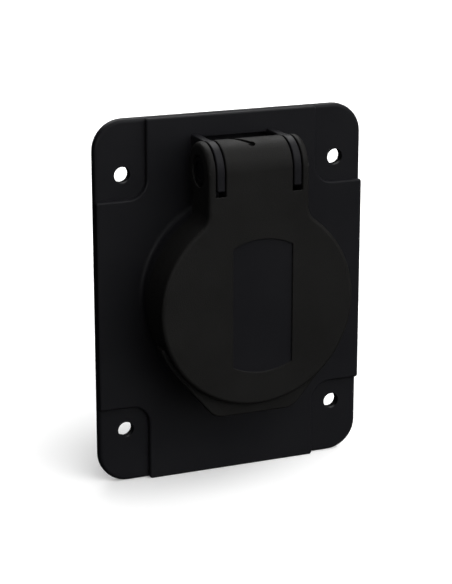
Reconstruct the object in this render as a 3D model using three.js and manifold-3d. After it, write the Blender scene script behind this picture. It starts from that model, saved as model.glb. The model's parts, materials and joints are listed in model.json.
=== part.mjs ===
// Panel-mounted power inlet with a sprung weather lid, in millimetres.
// +Z is up and +X is right. The front faces -Y, and the panel's surface is the plane y = 0.
import * as THREE from "three";
import { mergeVertices } from "three/addons/utils/BufferGeometryUtils.js";
import Module from "manifold-3d";

const wasm = await Module();
wasm.setup();

// Flange: a plate with four lower pads at the corners, where the panel screws sit.
const FLANGE_WIDTH = 65;
const FLANGE_HEIGHT = 85;
const FLANGE_CORNER = 7;
const FIELD_FRONT = -3.4;
const PAD_FRONT = -2.2;
const PAD_INNER_X = 20.6;
const PAD_INNER_Z = 24.4;
const PAD_CORNER = 4.4;
const FIXING_X = 26;
const FIXING_Z = 30;
const FIXING_HOLE_RADIUS = 1.85;

// Foam gasket in a shallow pocket of the flange's back.
const RIM_WIDTH = 2;
const GASKET_POCKET = 1;
const GASKET_THICKNESS = 0.7;
const GASKET_HOLE_RADIUS = 22.4;

// Round body: a collar in front of the flange and a barrel behind it, on one axis.
const AXIS_Z = 1.4;
const COLLAR_RADIUS = 22;
const COLLAR_FILLET = 1.2;
const COLLAR_STEP = -8.4;
const RIM_RADIUS = 20.6;
const RIM_FRONT = -15;
const BORE_RADIUS = 19;
const BARREL_RADIUS = 21.6;
const BARREL_END = 17;
const LUG_RADIUS = 3.3;
const LUG_FRONT = 13;
const CARRIER_LUG_X = 13;
const CARRIER_LUG_DROP = 4.8;
const COVER_LUG_OFFSET = 15.8;

// Hinge: two fixed ears over a shallow recess in the flange, a pin, and the lid's round knuckles.
const HINGE_Y = -12.5;
const HINGE_Z = 31.9;
const HINGE_RADIUS = 6.5;
const EAR_INNER = 8.2;
const EAR_OUTER = 10;
const EAR_BOTTOM = 28.2;
const EAR_ROOT_BOTTOM = 25.6;
const EAR_ROOT_TOP = 38.2;
const EAR_CREST = 2.3;
const RECESS_CENTRE_X = 0.4;
const RECESS_HALF_WIDTH = 7.8;
const RECESS_TOP = 37.5;
const RECESS_DEPTH = 2;
const LEDGE_FRONT = -11.2;
const LEDGE_TOP = 24.9;
const LEDGE_BOTTOM = 20;
const LEDGE_HALF_WIDTH = 7;
const PIN_RADIUS = 1.5;
const PIN_END_INSET = 0.2;
const PIN_HEAD_RADIUS = 3.2;
const PIN_HEAD_LENGTH = 0.8;
const PIN_RUNNING_GAP = 0.05;

// Lid: a hollow cap with a neck that runs up to the hinge.
const LID_RADIUS = 23.05;
const LID_FRONT = -19;
const LID_BACK = -9;
const LID_FACE_THICKNESS = 2.2;
const LID_WALL = 1.6;
const NECK_HALF_WIDTH = 12;
const NECK_FLARE = 4;
const SLOT_INNER = 7.9;
const SLOT_OUTER = 10.3;
const SLOT_RADIUS = 8;
const KNUCKLE_BORE = 5;
const OPENING_START_DEGREES = -110;
const OPENING_END_DEGREES = 65;
const WINDOW_CENTRE_X = 0.9;
const WINDOW_HALF_WIDTH = 7.15;
const WINDOW_RADIUS = 15.45;
const WINDOW_DEPTH = 0.4;
const TAB_FRONT = -16.6;
const TAB_BACK = -13;
const TAB_BOTTOM = -24.5;
const TAB_CORNER = 2.2;
const TAB_SIDE_DEGREES = 40;
const LIP_RADIUS = 24;
const LIP_END_DEGREES = 20;
const LID_GASKET_INNER = 18;
const LID_GASKET_OUTER = 21;
const LID_GASKET_BACK = -15.3;

// Torsion spring: a coil on the pin, one leg held by the ledge and one hooked over the knuckle.
const WIRE_RADIUS = 0.4;
const COIL_RADIUS = 3.2;
const COIL_TURNS = 6.94;
const COIL_START_X = 5.4;
const COIL_END_X = -5;
const LEG_RADIUS = 6;
const LEG_GROOVE_RADIUS = 0.75;
const LEG_X = 5.7;
const LEG_DEPTH = 1.6;
const LEG_HOLE_RADIUS = 1;
const LEG_HOLE_DEPTH = 2.2;

// Contact carrier and its contacts: two flat blades and a round earth pin.
const CARRIER_RADIUS = 18.6;
const CARRIER_FRONT = 5.6;
const CARRIER_BACK = 12.7;
const SEAL_GROOVE_RADIUS = 17.4;
const SEAL_FRONT = 8.2;
const SEAL_BACK = 10;
const BLADE_SPACING = 12.7;
const BLADE_LIFT = 4;
const BLADE_HEIGHT = 6.35;
const BLADE_THICKNESS = 1.5;
const BLADE_BEVEL = 1.2;
const BLADE_TIP = -11;
const EARTH_PIN_DROP = 11.9;
const EARTH_PIN_RADIUS = 2.4;
const EARTH_PIN_NOSE = 1.3;
const EARTH_PIN_TIP = -14;
const CONTACT_END = 15.6;
const TERMINAL_SIZE = 8.4;
const TERMINAL_FRONT = 13.1;
const TERMINAL_BACK = 21;
const TERMINAL_SHIFT = 0.8;
const TERMINAL_HOLE_DEPTH = 4.2;
const WIRE_HOLE_RADIUS = 1.3;
const WIRE_HOLE_INSET = 2.4;

// Rear cover with a cable entry in its end.
const COVER_FRONT = 17.3;
const COVER_BACK = 33;
const COVER_WALL = 1.8;
const ENTRY_RADIUS = 6;
const GROMMET_BORE = 4;
const GROMMET_LIP = 1.4;
const GROMMET_TAPER = 0.5;

// Screws, all of one kind with a straight slot.
const SCREW_RADIUS = 1.45;
const SCREW_HOLE_RADIUS = 1.8;
const SCREW_HEAD_RADIUS = 2.8;
const SCREW_HEAD_LENGTH = 1.8;
const SCREW_SLOT_DEPTH = 0.8;
const SCREW_SLOT_WIDTH = 0.8;
const SCREW_END_GAP = 0.5;
const SCREW_SEAT_DEPTH = 0.2;

// FIT_GAP is the play between neighbours, WELD how far joined shapes run into each other, and
// CLEAR how far a cutting tool passes a surface. A tool that cuts right through reaches THROUGH.
const FIT_GAP = 0.3;
const SEAL_GAP = 0.1;
const WELD = 1;
const CLEAR = 1;
const THROUGH = 40;

// Facets: the disc's outline is drawn as DISC_PIECES arcs.
const ROUND_SEGMENTS = 56;
const MEDIUM_SEGMENTS = 32;
const SMALL_SEGMENTS = 20;
const HOLE_SEGMENTS = 16;
const DISC_PIECES = 7;
const COIL_TURN_STEPS = 12;
const SPRING_STEPS = 120;
const GROOVE_STEPS = 18;
const WIRE_SIDES = 6;
const SMALLEST_DETAIL = 0.01;

const FINISHES = {
  housing: { color: 0x15161a, roughness: 0.38, metalness: 0 },
  lid: { color: 0x191817, roughness: 0.55, metalness: 0 },
  carrier: { color: 0x2b2c30, roughness: 0.5, metalness: 0 },
  rubber: { color: 0x0e0e0f, roughness: 0.85, metalness: 0 },
  contact: { color: 0xc9c3b4, roughness: 0.28, metalness: 1 },
  brass: { color: 0xb9974e, roughness: 0.35, metalness: 1 },
  screw: { color: 0xb4b7ba, roughness: 0.35, metalness: 1 },
  spring: { color: 0x3c3d40, roughness: 0.4, metalness: 1 },
};

// Solids: a closed geometry becomes a manifold solid for joining and cutting.
function toSolid(geometry) {
  const bare = geometry.index ? geometry.toNonIndexed() : geometry.clone();
  bare.deleteAttribute("normal");
  bare.deleteAttribute("uv");
  const merged = mergeVertices(bare, 1e-4);
  return new wasm.Manifold(
    new wasm.Mesh({
      numProp: 3,
      vertProperties: merged.attributes.position.array,
      triVerts: new Uint32Array(merged.index.array),
    }),
  );
}

function join(...solids) {
  return solids.reduce((whole, next) => whole.add(next));
}

function cut(solid, ...tools) {
  return tools.reduce((rest, tool) => rest.subtract(tool), solid);
}

// Places an outline drawn in (x, z) between two planes of constant y.
function plate(outline, yFront, yBack, segments = 3) {
  const geometry = new THREE.ExtrudeGeometry(outline, {
    depth: yBack - yFront,
    bevelEnabled: false,
    curveSegments: segments,
  });
  geometry.translate(0, 0, -yBack);
  geometry.rotateX(Math.PI / 2);
  return toSolid(geometry);
}

// Places an outline drawn in (y, z) between two planes of constant x.
function slab(outline, xLow, xHigh, segments = 10) {
  const geometry = new THREE.ExtrudeGeometry(outline, {
    depth: xHigh - xLow,
    bevelEnabled: false,
    curveSegments: segments,
  });
  geometry.translate(0, 0, xLow);
  const alongY = new THREE.Vector3(0, 1, 0);
  const alongZ = new THREE.Vector3(0, 0, 1);
  const alongX = new THREE.Vector3(1, 0, 0);
  geometry.applyMatrix4(new THREE.Matrix4().makeBasis(alongY, alongZ, alongX));
  return toSolid(geometry);
}

function block(x0, x1, y0, y1, z0, z1) {
  const geometry = new THREE.BoxGeometry(x1 - x0, y1 - y0, z1 - z0);
  geometry.translate((x0 + x1) / 2, (y0 + y1) / 2, (z0 + z1) / 2);
  return toSolid(geometry);
}

// A round rod along Y.
function rodY(radius, yFront, yBack, x = 0, z = AXIS_Z, segments = SMALL_SEGMENTS) {
  const geometry = new THREE.CylinderGeometry(radius, radius, yBack - yFront, segments);
  geometry.translate(x, (yFront + yBack) / 2, z);
  return toSolid(geometry);
}

// A round rod along X on the hinge axis.
function rodX(radius, xLow, xHigh, segments = SMALL_SEGMENTS) {
  const geometry = new THREE.CylinderGeometry(radius, radius, xHigh - xLow, segments);
  geometry.rotateZ(Math.PI / 2);
  geometry.translate((xLow + xHigh) / 2, HINGE_Y, HINGE_Z);
  return toSolid(geometry);
}

function tubeY(outer, inner, yFront, yBack, segments = ROUND_SEGMENTS) {
  return cut(
    rodY(outer, yFront, yBack, 0, AXIS_Z, segments),
    rodY(inner, yFront - CLEAR, yBack + CLEAR, 0, AXIS_Z, segments),
  );
}

function roundedRectangle(width, height, radius, x = 0, z = 0) {
  const outline = new THREE.Shape();
  const left = x - width / 2;
  const right = x + width / 2;
  const low = z - height / 2;
  const high = z + height / 2;
  outline.moveTo(left + radius, low);
  outline.lineTo(right - radius, low);
  outline.absarc(right - radius, low + radius, radius, -Math.PI / 2, 0);
  outline.lineTo(right, high - radius);
  outline.absarc(right - radius, high - radius, radius, 0, Math.PI / 2);
  outline.lineTo(left + radius, high);
  outline.absarc(left + radius, high - radius, radius, Math.PI / 2, Math.PI);
  outline.lineTo(left, low + radius);
  outline.absarc(left + radius, low + radius, radius, Math.PI, Math.PI * 1.5);
  return outline;
}

// Calls make(x, z) at the four panel fixings.
function atFixings(make) {
  const places = [];
  for (const sideX of [-1, 1]) {
    for (const sideZ of [-1, 1]) {
      places.push(make(sideX * FIXING_X, sideZ * FIXING_Z));
    }
  }
  return places;
}

function fixingHoles() {
  return atFixings((x, z) => rodY(FIXING_HOLE_RADIUS, -THROUGH, THROUGH, x, z));
}

// The pocket over one corner pad, open past the flange's edges.
function padPocket(x, z) {
  const pocketX = Math.sign(x) * (PAD_INNER_X + THROUGH / 2);
  const pocketZ = Math.sign(z) * (PAD_INNER_Z + THROUGH / 2);
  const outline = roundedRectangle(THROUGH, THROUGH, PAD_CORNER, pocketX, pocketZ);
  return plate(outline, FIELD_FRONT - CLEAR, PAD_FRONT);
}

function flangePlate() {
  const outline = roundedRectangle(FLANGE_WIDTH, FLANGE_HEIGHT, FLANGE_CORNER);
  return cut(plate(outline, FIELD_FRONT, 0), ...atFixings(padPocket));
}

function gasketOutline(inset) {
  const width = FLANGE_WIDTH - 2 * (RIM_WIDTH + inset);
  const height = FLANGE_HEIGHT - 2 * (RIM_WIDTH + inset);
  return roundedRectangle(width, height, FLANGE_CORNER - RIM_WIDTH - inset);
}

// The collar and the rear barrel, turned about the contact axis, with the bore left for later.
function roundBody() {
  const insideFlange = -GASKET_POCKET - FIT_GAP;
  const profile = [
    new THREE.Vector2(0, BARREL_END),
    new THREE.Vector2(BARREL_RADIUS, BARREL_END),
    new THREE.Vector2(BARREL_RADIUS, insideFlange),
    new THREE.Vector2(COLLAR_RADIUS + COLLAR_FILLET, FIELD_FRONT),
    new THREE.Vector2(COLLAR_RADIUS, FIELD_FRONT - COLLAR_FILLET),
    new THREE.Vector2(COLLAR_RADIUS, COLLAR_STEP),
    new THREE.Vector2(RIM_RADIUS, COLLAR_STEP),
    new THREE.Vector2(RIM_RADIUS, RIM_FRONT),
    new THREE.Vector2(0, RIM_FRONT),
  ].reverse();
  const geometry = new THREE.LatheGeometry(profile, ROUND_SEGMENTS);
  geometry.translate(0, 0, AXIS_Z);
  return toSolid(geometry);
}

// One fixed ear: round over the hinge axis, straight down its front, and rooted on the flange.
function ear(side) {
  const outline = new THREE.Shape();
  outline.moveTo(FIELD_FRONT + WELD, EAR_ROOT_BOTTOM);
  outline.lineTo(FIELD_FRONT + WELD, EAR_ROOT_TOP);
  outline.lineTo(HINGE_Y + EAR_CREST, EAR_ROOT_TOP);
  outline.lineTo(HINGE_Y, HINGE_Z + HINGE_RADIUS);
  outline.absarc(HINGE_Y, HINGE_Z, HINGE_RADIUS, Math.PI / 2, Math.PI);
  outline.lineTo(HINGE_Y - HINGE_RADIUS, EAR_BOTTOM);
  outline.lineTo(HINGE_Y, EAR_BOTTOM);
  outline.lineTo(LEDGE_FRONT + WELD, EAR_ROOT_BOTTOM);
  const low = side < 0 ? -EAR_OUTER : EAR_INNER;
  return slab(outline, low, low + EAR_OUTER - EAR_INNER);
}

// A screw lug inside the barrel, joined to its wall by a web.
function lug({ x, z }) {
  const outline = new THREE.Shape();
  const reach = BORE_RADIUS + LUG_RADIUS;
  const out = new THREE.Vector2(x, z - AXIS_Z).normalize().multiplyScalar(reach);
  const across = new THREE.Vector2(-out.y, out.x).normalize().multiplyScalar(LUG_RADIUS);
  outline.moveTo(x + across.x, z + across.y);
  outline.lineTo(x - across.x, z - across.y);
  outline.lineTo(out.x - across.x, AXIS_Z + out.y - across.y);
  outline.lineTo(out.x + across.x, AXIS_Z + out.y + across.y);
  const web = plate(outline, LUG_FRONT, BARREL_END);
  const inside = rodY(BORE_RADIUS + WELD, LUG_FRONT, BARREL_END, 0, AXIS_Z, ROUND_SEGMENTS);
  return join(rodY(LUG_RADIUS, LUG_FRONT, BARREL_END, x, z), web.intersect(inside));
}

// The side lugs hold the contact carrier, and the upper and lower ones hold the rear cover.
const CARRIER_LUGS = [-1, 1].map((side) => ({
  x: side * CARRIER_LUG_X,
  z: AXIS_Z - CARRIER_LUG_DROP,
}));
const COVER_LUGS = [-1, 1].map((side) => ({ x: 0, z: AXIS_Z + side * COVER_LUG_OFFSET }));
const LUGS = CARRIER_LUGS.concat(COVER_LUGS);

// A screw's clearance hole between two surfaces.
function screwHole({ x, z }, yFront, yBack) {
  return rodY(SCREW_HOLE_RADIUS, yFront - CLEAR, yBack + CLEAR, x, z, HOLE_SEGMENTS);
}

// The shallow recess in the flange's face, behind the middle knuckle.
function hingeRecess() {
  return block(
    RECESS_CENTRE_X - RECESS_HALF_WIDTH,
    RECESS_CENTRE_X + RECESS_HALF_WIDTH,
    FIELD_FRONT - CLEAR,
    FIELD_FRONT + RECESS_DEPTH,
    LEDGE_TOP,
    RECESS_TOP,
  );
}

// The ledge between the collar and the hinge, which takes the spring's fixed leg.
function springLedge() {
  const whole = block(
    -LEDGE_HALF_WIDTH,
    LEDGE_HALF_WIDTH,
    LEDGE_FRONT,
    FIELD_FRONT + WELD,
    LEDGE_BOTTOM,
    LEDGE_TOP,
  );
  return cut(whole, rodY(BORE_RADIUS + WELD, -THROUGH, THROUGH, 0, AXIS_Z, ROUND_SEGMENTS));
}

function flangeHousing() {
  const shell = cut(
    join(flangePlate(), roundBody()),
    rodY(BORE_RADIUS, RIM_FRONT - CLEAR, BARREL_END + CLEAR, 0, AXIS_Z, ROUND_SEGMENTS),
    cut(
      plate(gasketOutline(0), -GASKET_POCKET, CLEAR),
      rodY(BARREL_RADIUS, -THROUGH, THROUGH, 0, AXIS_Z, ROUND_SEGMENTS),
    ),
    hingeRecess(),
  );
  const solid = join(shell, springLedge(), ear(-1), ear(1), ...LUGS.map(lug));
  return cut(
    solid,
    ...fixingHoles(),
    ...LUGS.map((at) => screwHole(at, LUG_FRONT, BARREL_END)),
    rodX(PIN_RADIUS + PIN_RUNNING_GAP, -EAR_OUTER - CLEAR, EAR_OUTER + CLEAR),
    springLegHole(),
  );
}

function flangeGasket() {
  return cut(
    plate(gasketOutline(FIT_GAP), -GASKET_THICKNESS, 0),
    rodY(GASKET_HOLE_RADIUS, -THROUGH, THROUGH, 0, AXIS_Z, ROUND_SEGMENTS),
    ...fixingHoles(),
  );
}

// The lid's outline in (x, z): a disc, and a neck with concave flares that ends at height top.
function lidOutline(inset, top) {
  const radius = LID_RADIUS - inset;
  const halfNeck = NECK_HALF_WIDTH - inset;
  const flare = NECK_FLARE + inset;
  const flareX = halfNeck + flare;
  const flareUp = Math.sqrt((radius + flare) ** 2 - flareX ** 2);
  const discAngle = Math.atan2(flareUp, flareX);
  const outline = new THREE.Shape();
  outline.moveTo(halfNeck, top);
  outline.lineTo(-halfNeck, top);
  outline.lineTo(-halfNeck, AXIS_Z + flareUp);
  outline.absarc(-flareX, AXIS_Z + flareUp, flare, 0, -discAngle, true);
  const discStart = Math.PI - discAngle;
  const discStep = (Math.PI + 2 * discAngle) / DISC_PIECES;
  for (let piece = 0; piece < DISC_PIECES; piece += 1) {
    const from = discStart + piece * discStep;
    outline.absarc(0, AXIS_Z, radius, from, from + discStep);
  }
  outline.absarc(flareX, AXIS_Z + flareUp, flare, Math.PI + discAngle, Math.PI, true);
  return outline;
}

// The finger tab: a lip behind the disc's edge, whose straight sides run on down to a flat bottom.
function fingerTab() {
  const lipEnd = THREE.MathUtils.degToRad(LIP_END_DEGREES);
  const sideAngle = THREE.MathUtils.degToRad(TAB_SIDE_DEGREES);
  const rise = TAB_BOTTOM - AXIS_Z;
  const cornerX = (LIP_RADIUS + rise * Math.sin(sideAngle)) / Math.cos(sideAngle);
  const sideX = cornerX + TAB_CORNER * Math.sin(sideAngle);
  const sideZ = TAB_BOTTOM + TAB_CORNER * Math.cos(sideAngle);
  const outline = new THREE.Shape();
  outline.absarc(0, AXIS_Z, LIP_RADIUS, -lipEnd, -sideAngle, true);
  outline.lineTo(sideX, sideZ);
  outline.quadraticCurveTo(cornerX, TAB_BOTTOM, cornerX - TAB_CORNER, TAB_BOTTOM);
  outline.lineTo(TAB_CORNER - cornerX, TAB_BOTTOM);
  outline.quadraticCurveTo(-cornerX, TAB_BOTTOM, -sideX, sideZ);
  outline.absarc(0, AXIS_Z, LIP_RADIUS, Math.PI + sideAngle, Math.PI + lipEnd, true);
  return cut(
    plate(outline, TAB_FRONT, TAB_BACK),
    rodY(LID_RADIUS - WELD, -THROUGH, THROUGH, 0, AXIS_Z, ROUND_SEGMENTS),
  );
}

// The flat window on the lid's face: straight sides, and ends that follow the disc.
function lidWindow() {
  const endAngle = Math.acos(WINDOW_HALF_WIDTH / WINDOW_RADIUS);
  const outline = new THREE.Shape();
  outline.absarc(WINDOW_CENTRE_X, AXIS_Z, WINDOW_RADIUS, endAngle, Math.PI - endAngle);
  outline.absarc(WINDOW_CENTRE_X, AXIS_Z, WINDOW_RADIUS, Math.PI + endAngle, 2 * Math.PI - endAngle);
  return plate(outline, LID_FRONT - CLEAR, LID_FRONT + WINDOW_DEPTH, 5);
}

function lid() {
  const knuckles = rodX(HINGE_RADIUS, -NECK_HALF_WIDTH, NECK_HALF_WIDTH, ROUND_SEGMENTS);
  const cap = plate(lidOutline(0, HINGE_Z), LID_FRONT, LID_BACK);
  const hollowFront = LID_FRONT + LID_FACE_THICKNESS;
  const hollow = plate(lidOutline(LID_WALL, HINGE_Z), hollowFront, LID_BACK + CLEAR);
  const slots = [-1, 1].map((side) => {
    const low = side < 0 ? -SLOT_OUTER : SLOT_INNER;
    return rodX(SLOT_RADIUS, low, low + SLOT_OUTER - SLOT_INNER, ROUND_SEGMENTS);
  });
  const neckEnd = NECK_HALF_WIDTH + CLEAR;
  const pocketFloor = NECK_HALF_WIDTH - PIN_HEAD_LENGTH - FIT_GAP;
  return cut(
    join(cut(cap, hollow), knuckles, fingerTab()),
    rodX(KNUCKLE_BORE, -SLOT_INNER - CLEAR, SLOT_INNER + CLEAR, MEDIUM_SEGMENTS),
    rearOpening(),
    ...slots,
    rodX(PIN_RADIUS + PIN_RUNNING_GAP, -neckEnd, neckEnd),
    rodX(PIN_HEAD_RADIUS + FIT_GAP, -neckEnd, -pocketFloor),
    rodX(PIN_HEAD_RADIUS + FIT_GAP, pocketFloor, neckEnd),
    lidWindow(),
    legGroove(),
  );
}

// The opening under and behind the middle knuckle, where the spring goes in.
function rearOpening() {
  const outline = new THREE.Shape();
  const start = THREE.MathUtils.degToRad(OPENING_START_DEGREES);
  const end = THREE.MathUtils.degToRad(OPENING_END_DEGREES);
  outline.moveTo(HINGE_Y, HINGE_Z);
  outline.absarc(HINGE_Y, HINGE_Z, HINGE_RADIUS + 2 * CLEAR, start, end);
  return slab(outline, -SLOT_INNER, SLOT_INNER);
}

function lidGasket() {
  return tubeY(
    LID_GASKET_OUTER,
    LID_GASKET_INNER,
    LID_FRONT + LID_FACE_THICKNESS + FIT_GAP,
    LID_GASKET_BACK,
  );
}

function hingePin() {
  const end = NECK_HALF_WIDTH - PIN_END_INSET;
  return join(
    rodX(PIN_RADIUS, -end + PIN_HEAD_LENGTH / 2, end),
    rodX(PIN_HEAD_RADIUS, -end, -end + PIN_HEAD_LENGTH),
  );
}

// A point on a circle about the hinge axis. Angle 0 points to the panel, and 90 degrees up.
function aboutHinge(x, radius, degrees) {
  const angle = THREE.MathUtils.degToRad(degrees);
  return new THREE.Vector3(
    x,
    HINGE_Y + radius * Math.cos(angle),
    HINGE_Z + radius * Math.sin(angle),
  );
}

// The free leg: out of the knuckle's opening, over its top, and into a small hole.
function freeLegPoints() {
  return [
    aboutHinge(COIL_END_X - 0.2, 4.3, 14),
    aboutHinge(COIL_END_X - 0.3, 5.4, 36),
    aboutHinge(COIL_END_X - 0.2, LEG_RADIUS + 0.2, 54),
    aboutHinge(COIL_END_X + 0.6, LEG_RADIUS, 74),
    aboutHinge(COIL_END_X + 2.2, LEG_RADIUS, 94),
    aboutHinge(COIL_END_X + 4.2, LEG_RADIUS, 113),
    aboutHinge(COIL_END_X + 4.8, 5.2, 118),
  ];
}

function coilPoints() {
  const points = [];
  const steps = Math.round(COIL_TURNS * COIL_TURN_STEPS);
  for (let step = 0; step <= steps; step += 1) {
    const along = step / steps;
    const x = COIL_START_X + (COIL_END_X - COIL_START_X) * along;
    points.push(aboutHinge(x, COIL_RADIUS, 360 * COIL_TURNS * along));
  }
  return points;
}

// The fixed leg runs straight down behind the pin into the ledge.
function fixedLegPoints() {
  const y = HINGE_Y + COIL_RADIUS;
  return [
    new THREE.Vector3(LEG_X, y, LEDGE_TOP - LEG_DEPTH),
    new THREE.Vector3(LEG_X, y, LEDGE_TOP + 1),
    new THREE.Vector3(LEG_X - 0.05, y, HINGE_Z - 3),
  ];
}

function wire(points, radius, steps) {
  const section = new THREE.Shape();
  section.absarc(0, 0, radius, 0, Math.PI * 2);
  const path = new THREE.CatmullRomCurve3(points, false, "centripetal");
  const geometry = new THREE.ExtrudeGeometry(section, {
    steps,
    curveSegments: WIRE_SIDES / 2,
    bevelEnabled: false,
    extrudePath: path,
  });
  return toSolid(geometry);
}

// The hole in the ledge for the fixed leg.
function springLegHole() {
  const length = LEG_HOLE_DEPTH + CLEAR;
  const geometry = new THREE.CylinderGeometry(LEG_HOLE_RADIUS, LEG_HOLE_RADIUS, length, HOLE_SEGMENTS);
  geometry.rotateX(Math.PI / 2);
  geometry.translate(LEG_X, HINGE_Y + COIL_RADIUS, LEDGE_TOP + CLEAR - length / 2);
  return toSolid(geometry);
}

// The groove over the knuckle, in which the free leg lies.
function legGroove() {
  return wire(freeLegPoints().slice(1), LEG_GROOVE_RADIUS, GROOVE_STEPS);
}

function torsionSpring() {
  const points = fixedLegPoints().concat(coilPoints()).concat(freeLegPoints());
  return wire(points, WIRE_RADIUS, SPRING_STEPS);
}

// Positions of the three contacts in (x, z).
const CONTACTS = {
  line: { x: BLADE_SPACING / 2, z: AXIS_Z + BLADE_LIFT },
  neutral: { x: -BLADE_SPACING / 2, z: AXIS_Z + BLADE_LIFT },
  earth: { x: 0, z: AXIS_Z + BLADE_LIFT - EARTH_PIN_DROP },
};

// A flat blade with a bevelled tip, standing in the (y, z) plane. With a gap it is the blade's space.
function blade({ x, z }, gap = 0, yFront = BLADE_TIP, yBack = CONTACT_END) {
  const outline = new THREE.Shape();
  const half = BLADE_HEIGHT / 2 + gap;
  const bevel = gap ? 0 : BLADE_BEVEL;
  outline.moveTo(yFront + bevel, z - half);
  outline.lineTo(yBack, z - half);
  outline.lineTo(yBack, z + half);
  outline.lineTo(yFront + bevel, z + half);
  if (bevel) {
    outline.lineTo(yFront, z + half - bevel);
    outline.lineTo(yFront, z - half + bevel);
  }
  const halfThickness = BLADE_THICKNESS / 2 + gap;
  return slab(outline, x - halfThickness, x + halfThickness);
}

function earthPin({ x, z }, gap = 0, yFront = EARTH_PIN_TIP, yBack = CONTACT_END) {
  if (gap) {
    return rodY(EARTH_PIN_RADIUS + gap, yFront, yBack, x, z);
  }
  const profile = [
    new THREE.Vector2(0, yFront),
    new THREE.Vector2(EARTH_PIN_NOSE, yFront),
    new THREE.Vector2(EARTH_PIN_RADIUS, yFront + EARTH_PIN_NOSE),
    new THREE.Vector2(EARTH_PIN_RADIUS, yBack),
    new THREE.Vector2(0, yBack),
  ];
  const geometry = new THREE.LatheGeometry(profile, SMALL_SEGMENTS);
  geometry.translate(x, 0, z);
  return toSolid(geometry);
}

function contactSpaces(yFront, yBack) {
  return [
    blade(CONTACTS.line, FIT_GAP, yFront, yBack),
    blade(CONTACTS.neutral, FIT_GAP, yFront, yBack),
    earthPin(CONTACTS.earth, FIT_GAP, yFront, yBack),
  ];
}

function contactCarrier() {
  const seatFloor = CARRIER_FRONT + SCREW_HEAD_LENGTH + SCREW_END_GAP;
  return cut(
    rodY(CARRIER_RADIUS, CARRIER_FRONT, CARRIER_BACK, 0, AXIS_Z, ROUND_SEGMENTS),
    tubeY(CARRIER_RADIUS + CLEAR, SEAL_GROOVE_RADIUS, SEAL_FRONT, SEAL_BACK),
    ...contactSpaces(CARRIER_FRONT - CLEAR, CARRIER_BACK + CLEAR),
    ...CARRIER_LUGS.map((at) => screwHole(at, CARRIER_FRONT, CARRIER_BACK)),
    ...CARRIER_LUGS.map(({ x, z }) =>
      rodY(SCREW_HEAD_RADIUS + FIT_GAP, CARRIER_FRONT - CLEAR, seatFloor, x, z),
    ),
  );
}

function carrierSeal() {
  return tubeY(
    BORE_RADIUS - SEAL_GAP,
    SEAL_GROOVE_RADIUS + SEAL_GAP,
    SEAL_FRONT + FIT_GAP,
    SEAL_BACK - FIT_GAP,
  );
}

// A pan-head screw along Y with a straight slot. Its head faces the front or the back.
function screw({ x, z }, { headAt, tip }) {
  const inward = Math.sign(tip - headAt);
  const headBase = headAt + inward * SCREW_HEAD_LENGTH;
  const slotFloor = headAt + inward * SCREW_SLOT_DEPTH;
  const between = (a, b) => [Math.min(a, b), Math.max(a, b)];
  const shank = rodY(SCREW_RADIUS, ...between(headAt, tip), x, z, HOLE_SEGMENTS);
  const head = rodY(SCREW_HEAD_RADIUS, ...between(headAt, headBase), x, z);
  const slot = block(
    x - SCREW_HEAD_RADIUS - CLEAR,
    x + SCREW_HEAD_RADIUS + CLEAR,
    ...between(headAt - inward * CLEAR, slotFloor),
    z - SCREW_SLOT_WIDTH / 2,
    z + SCREW_SLOT_WIDTH / 2,
  );
  return cut(join(shank, head), slot);
}

// Centre of a contact's terminal block, moved outwards from the middle of the carrier.
function terminalCentre(name) {
  const { x, z } = CONTACTS[name];
  return { x: x + Math.sign(x) * TERMINAL_SHIFT, z };
}

// A terminal block: a socket for the contact's tail, a screw hole, and a cross hole for the wire.
function terminal(name) {
  const { x, z } = terminalCentre(name);
  const half = TERMINAL_SIZE / 2;
  const body = block(x - half, x + half, TERMINAL_FRONT, TERMINAL_BACK, z - half, z + half);
  const makeSpace = name === "earth" ? earthPin : blade;
  const socketEnd = CONTACT_END + FIT_GAP;
  const socket = makeSpace(CONTACTS[name], FIT_GAP, TERMINAL_FRONT - CLEAR, socketEnd);
  const screwSpace = screwHole({ x, z }, TERMINAL_BACK - TERMINAL_HOLE_DEPTH + CLEAR, TERMINAL_BACK);
  return cut(body, socket, screwSpace, wireEntry(name));
}

// The wire's hole: from the outer side into a side terminal, and from below into the earth one.
function wireEntry(name) {
  const { x, z } = terminalCentre(name);
  const length = TERMINAL_SIZE / 2 + CLEAR;
  const geometry = new THREE.CylinderGeometry(WIRE_HOLE_RADIUS, WIRE_HOLE_RADIUS, length, HOLE_SEGMENTS);
  const y = TERMINAL_BACK - WIRE_HOLE_INSET;
  if (name === "earth") {
    geometry.rotateX(Math.PI / 2);
    geometry.translate(x, y, z - length / 2);
  } else {
    geometry.rotateZ(Math.PI / 2);
    geometry.translate(x + (Math.sign(x) * length) / 2, y, z);
  }
  return toSolid(geometry);
}

function terminalScrew(name) {
  return screw(terminalCentre(name), {
    headAt: TERMINAL_BACK + FIT_GAP + SCREW_HEAD_LENGTH,
    tip: TERMINAL_BACK - TERMINAL_HOLE_DEPTH + SCREW_END_GAP,
  });
}

function carrierScrew(place) {
  return screw(place, { headAt: CARRIER_FRONT + SCREW_SEAT_DEPTH, tip: BARREL_END - SCREW_END_GAP });
}

function coverScrew(place) {
  return screw(place, {
    headAt: COVER_BACK + FIT_GAP + SCREW_HEAD_LENGTH,
    tip: LUG_FRONT + SCREW_END_GAP,
  });
}

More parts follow.
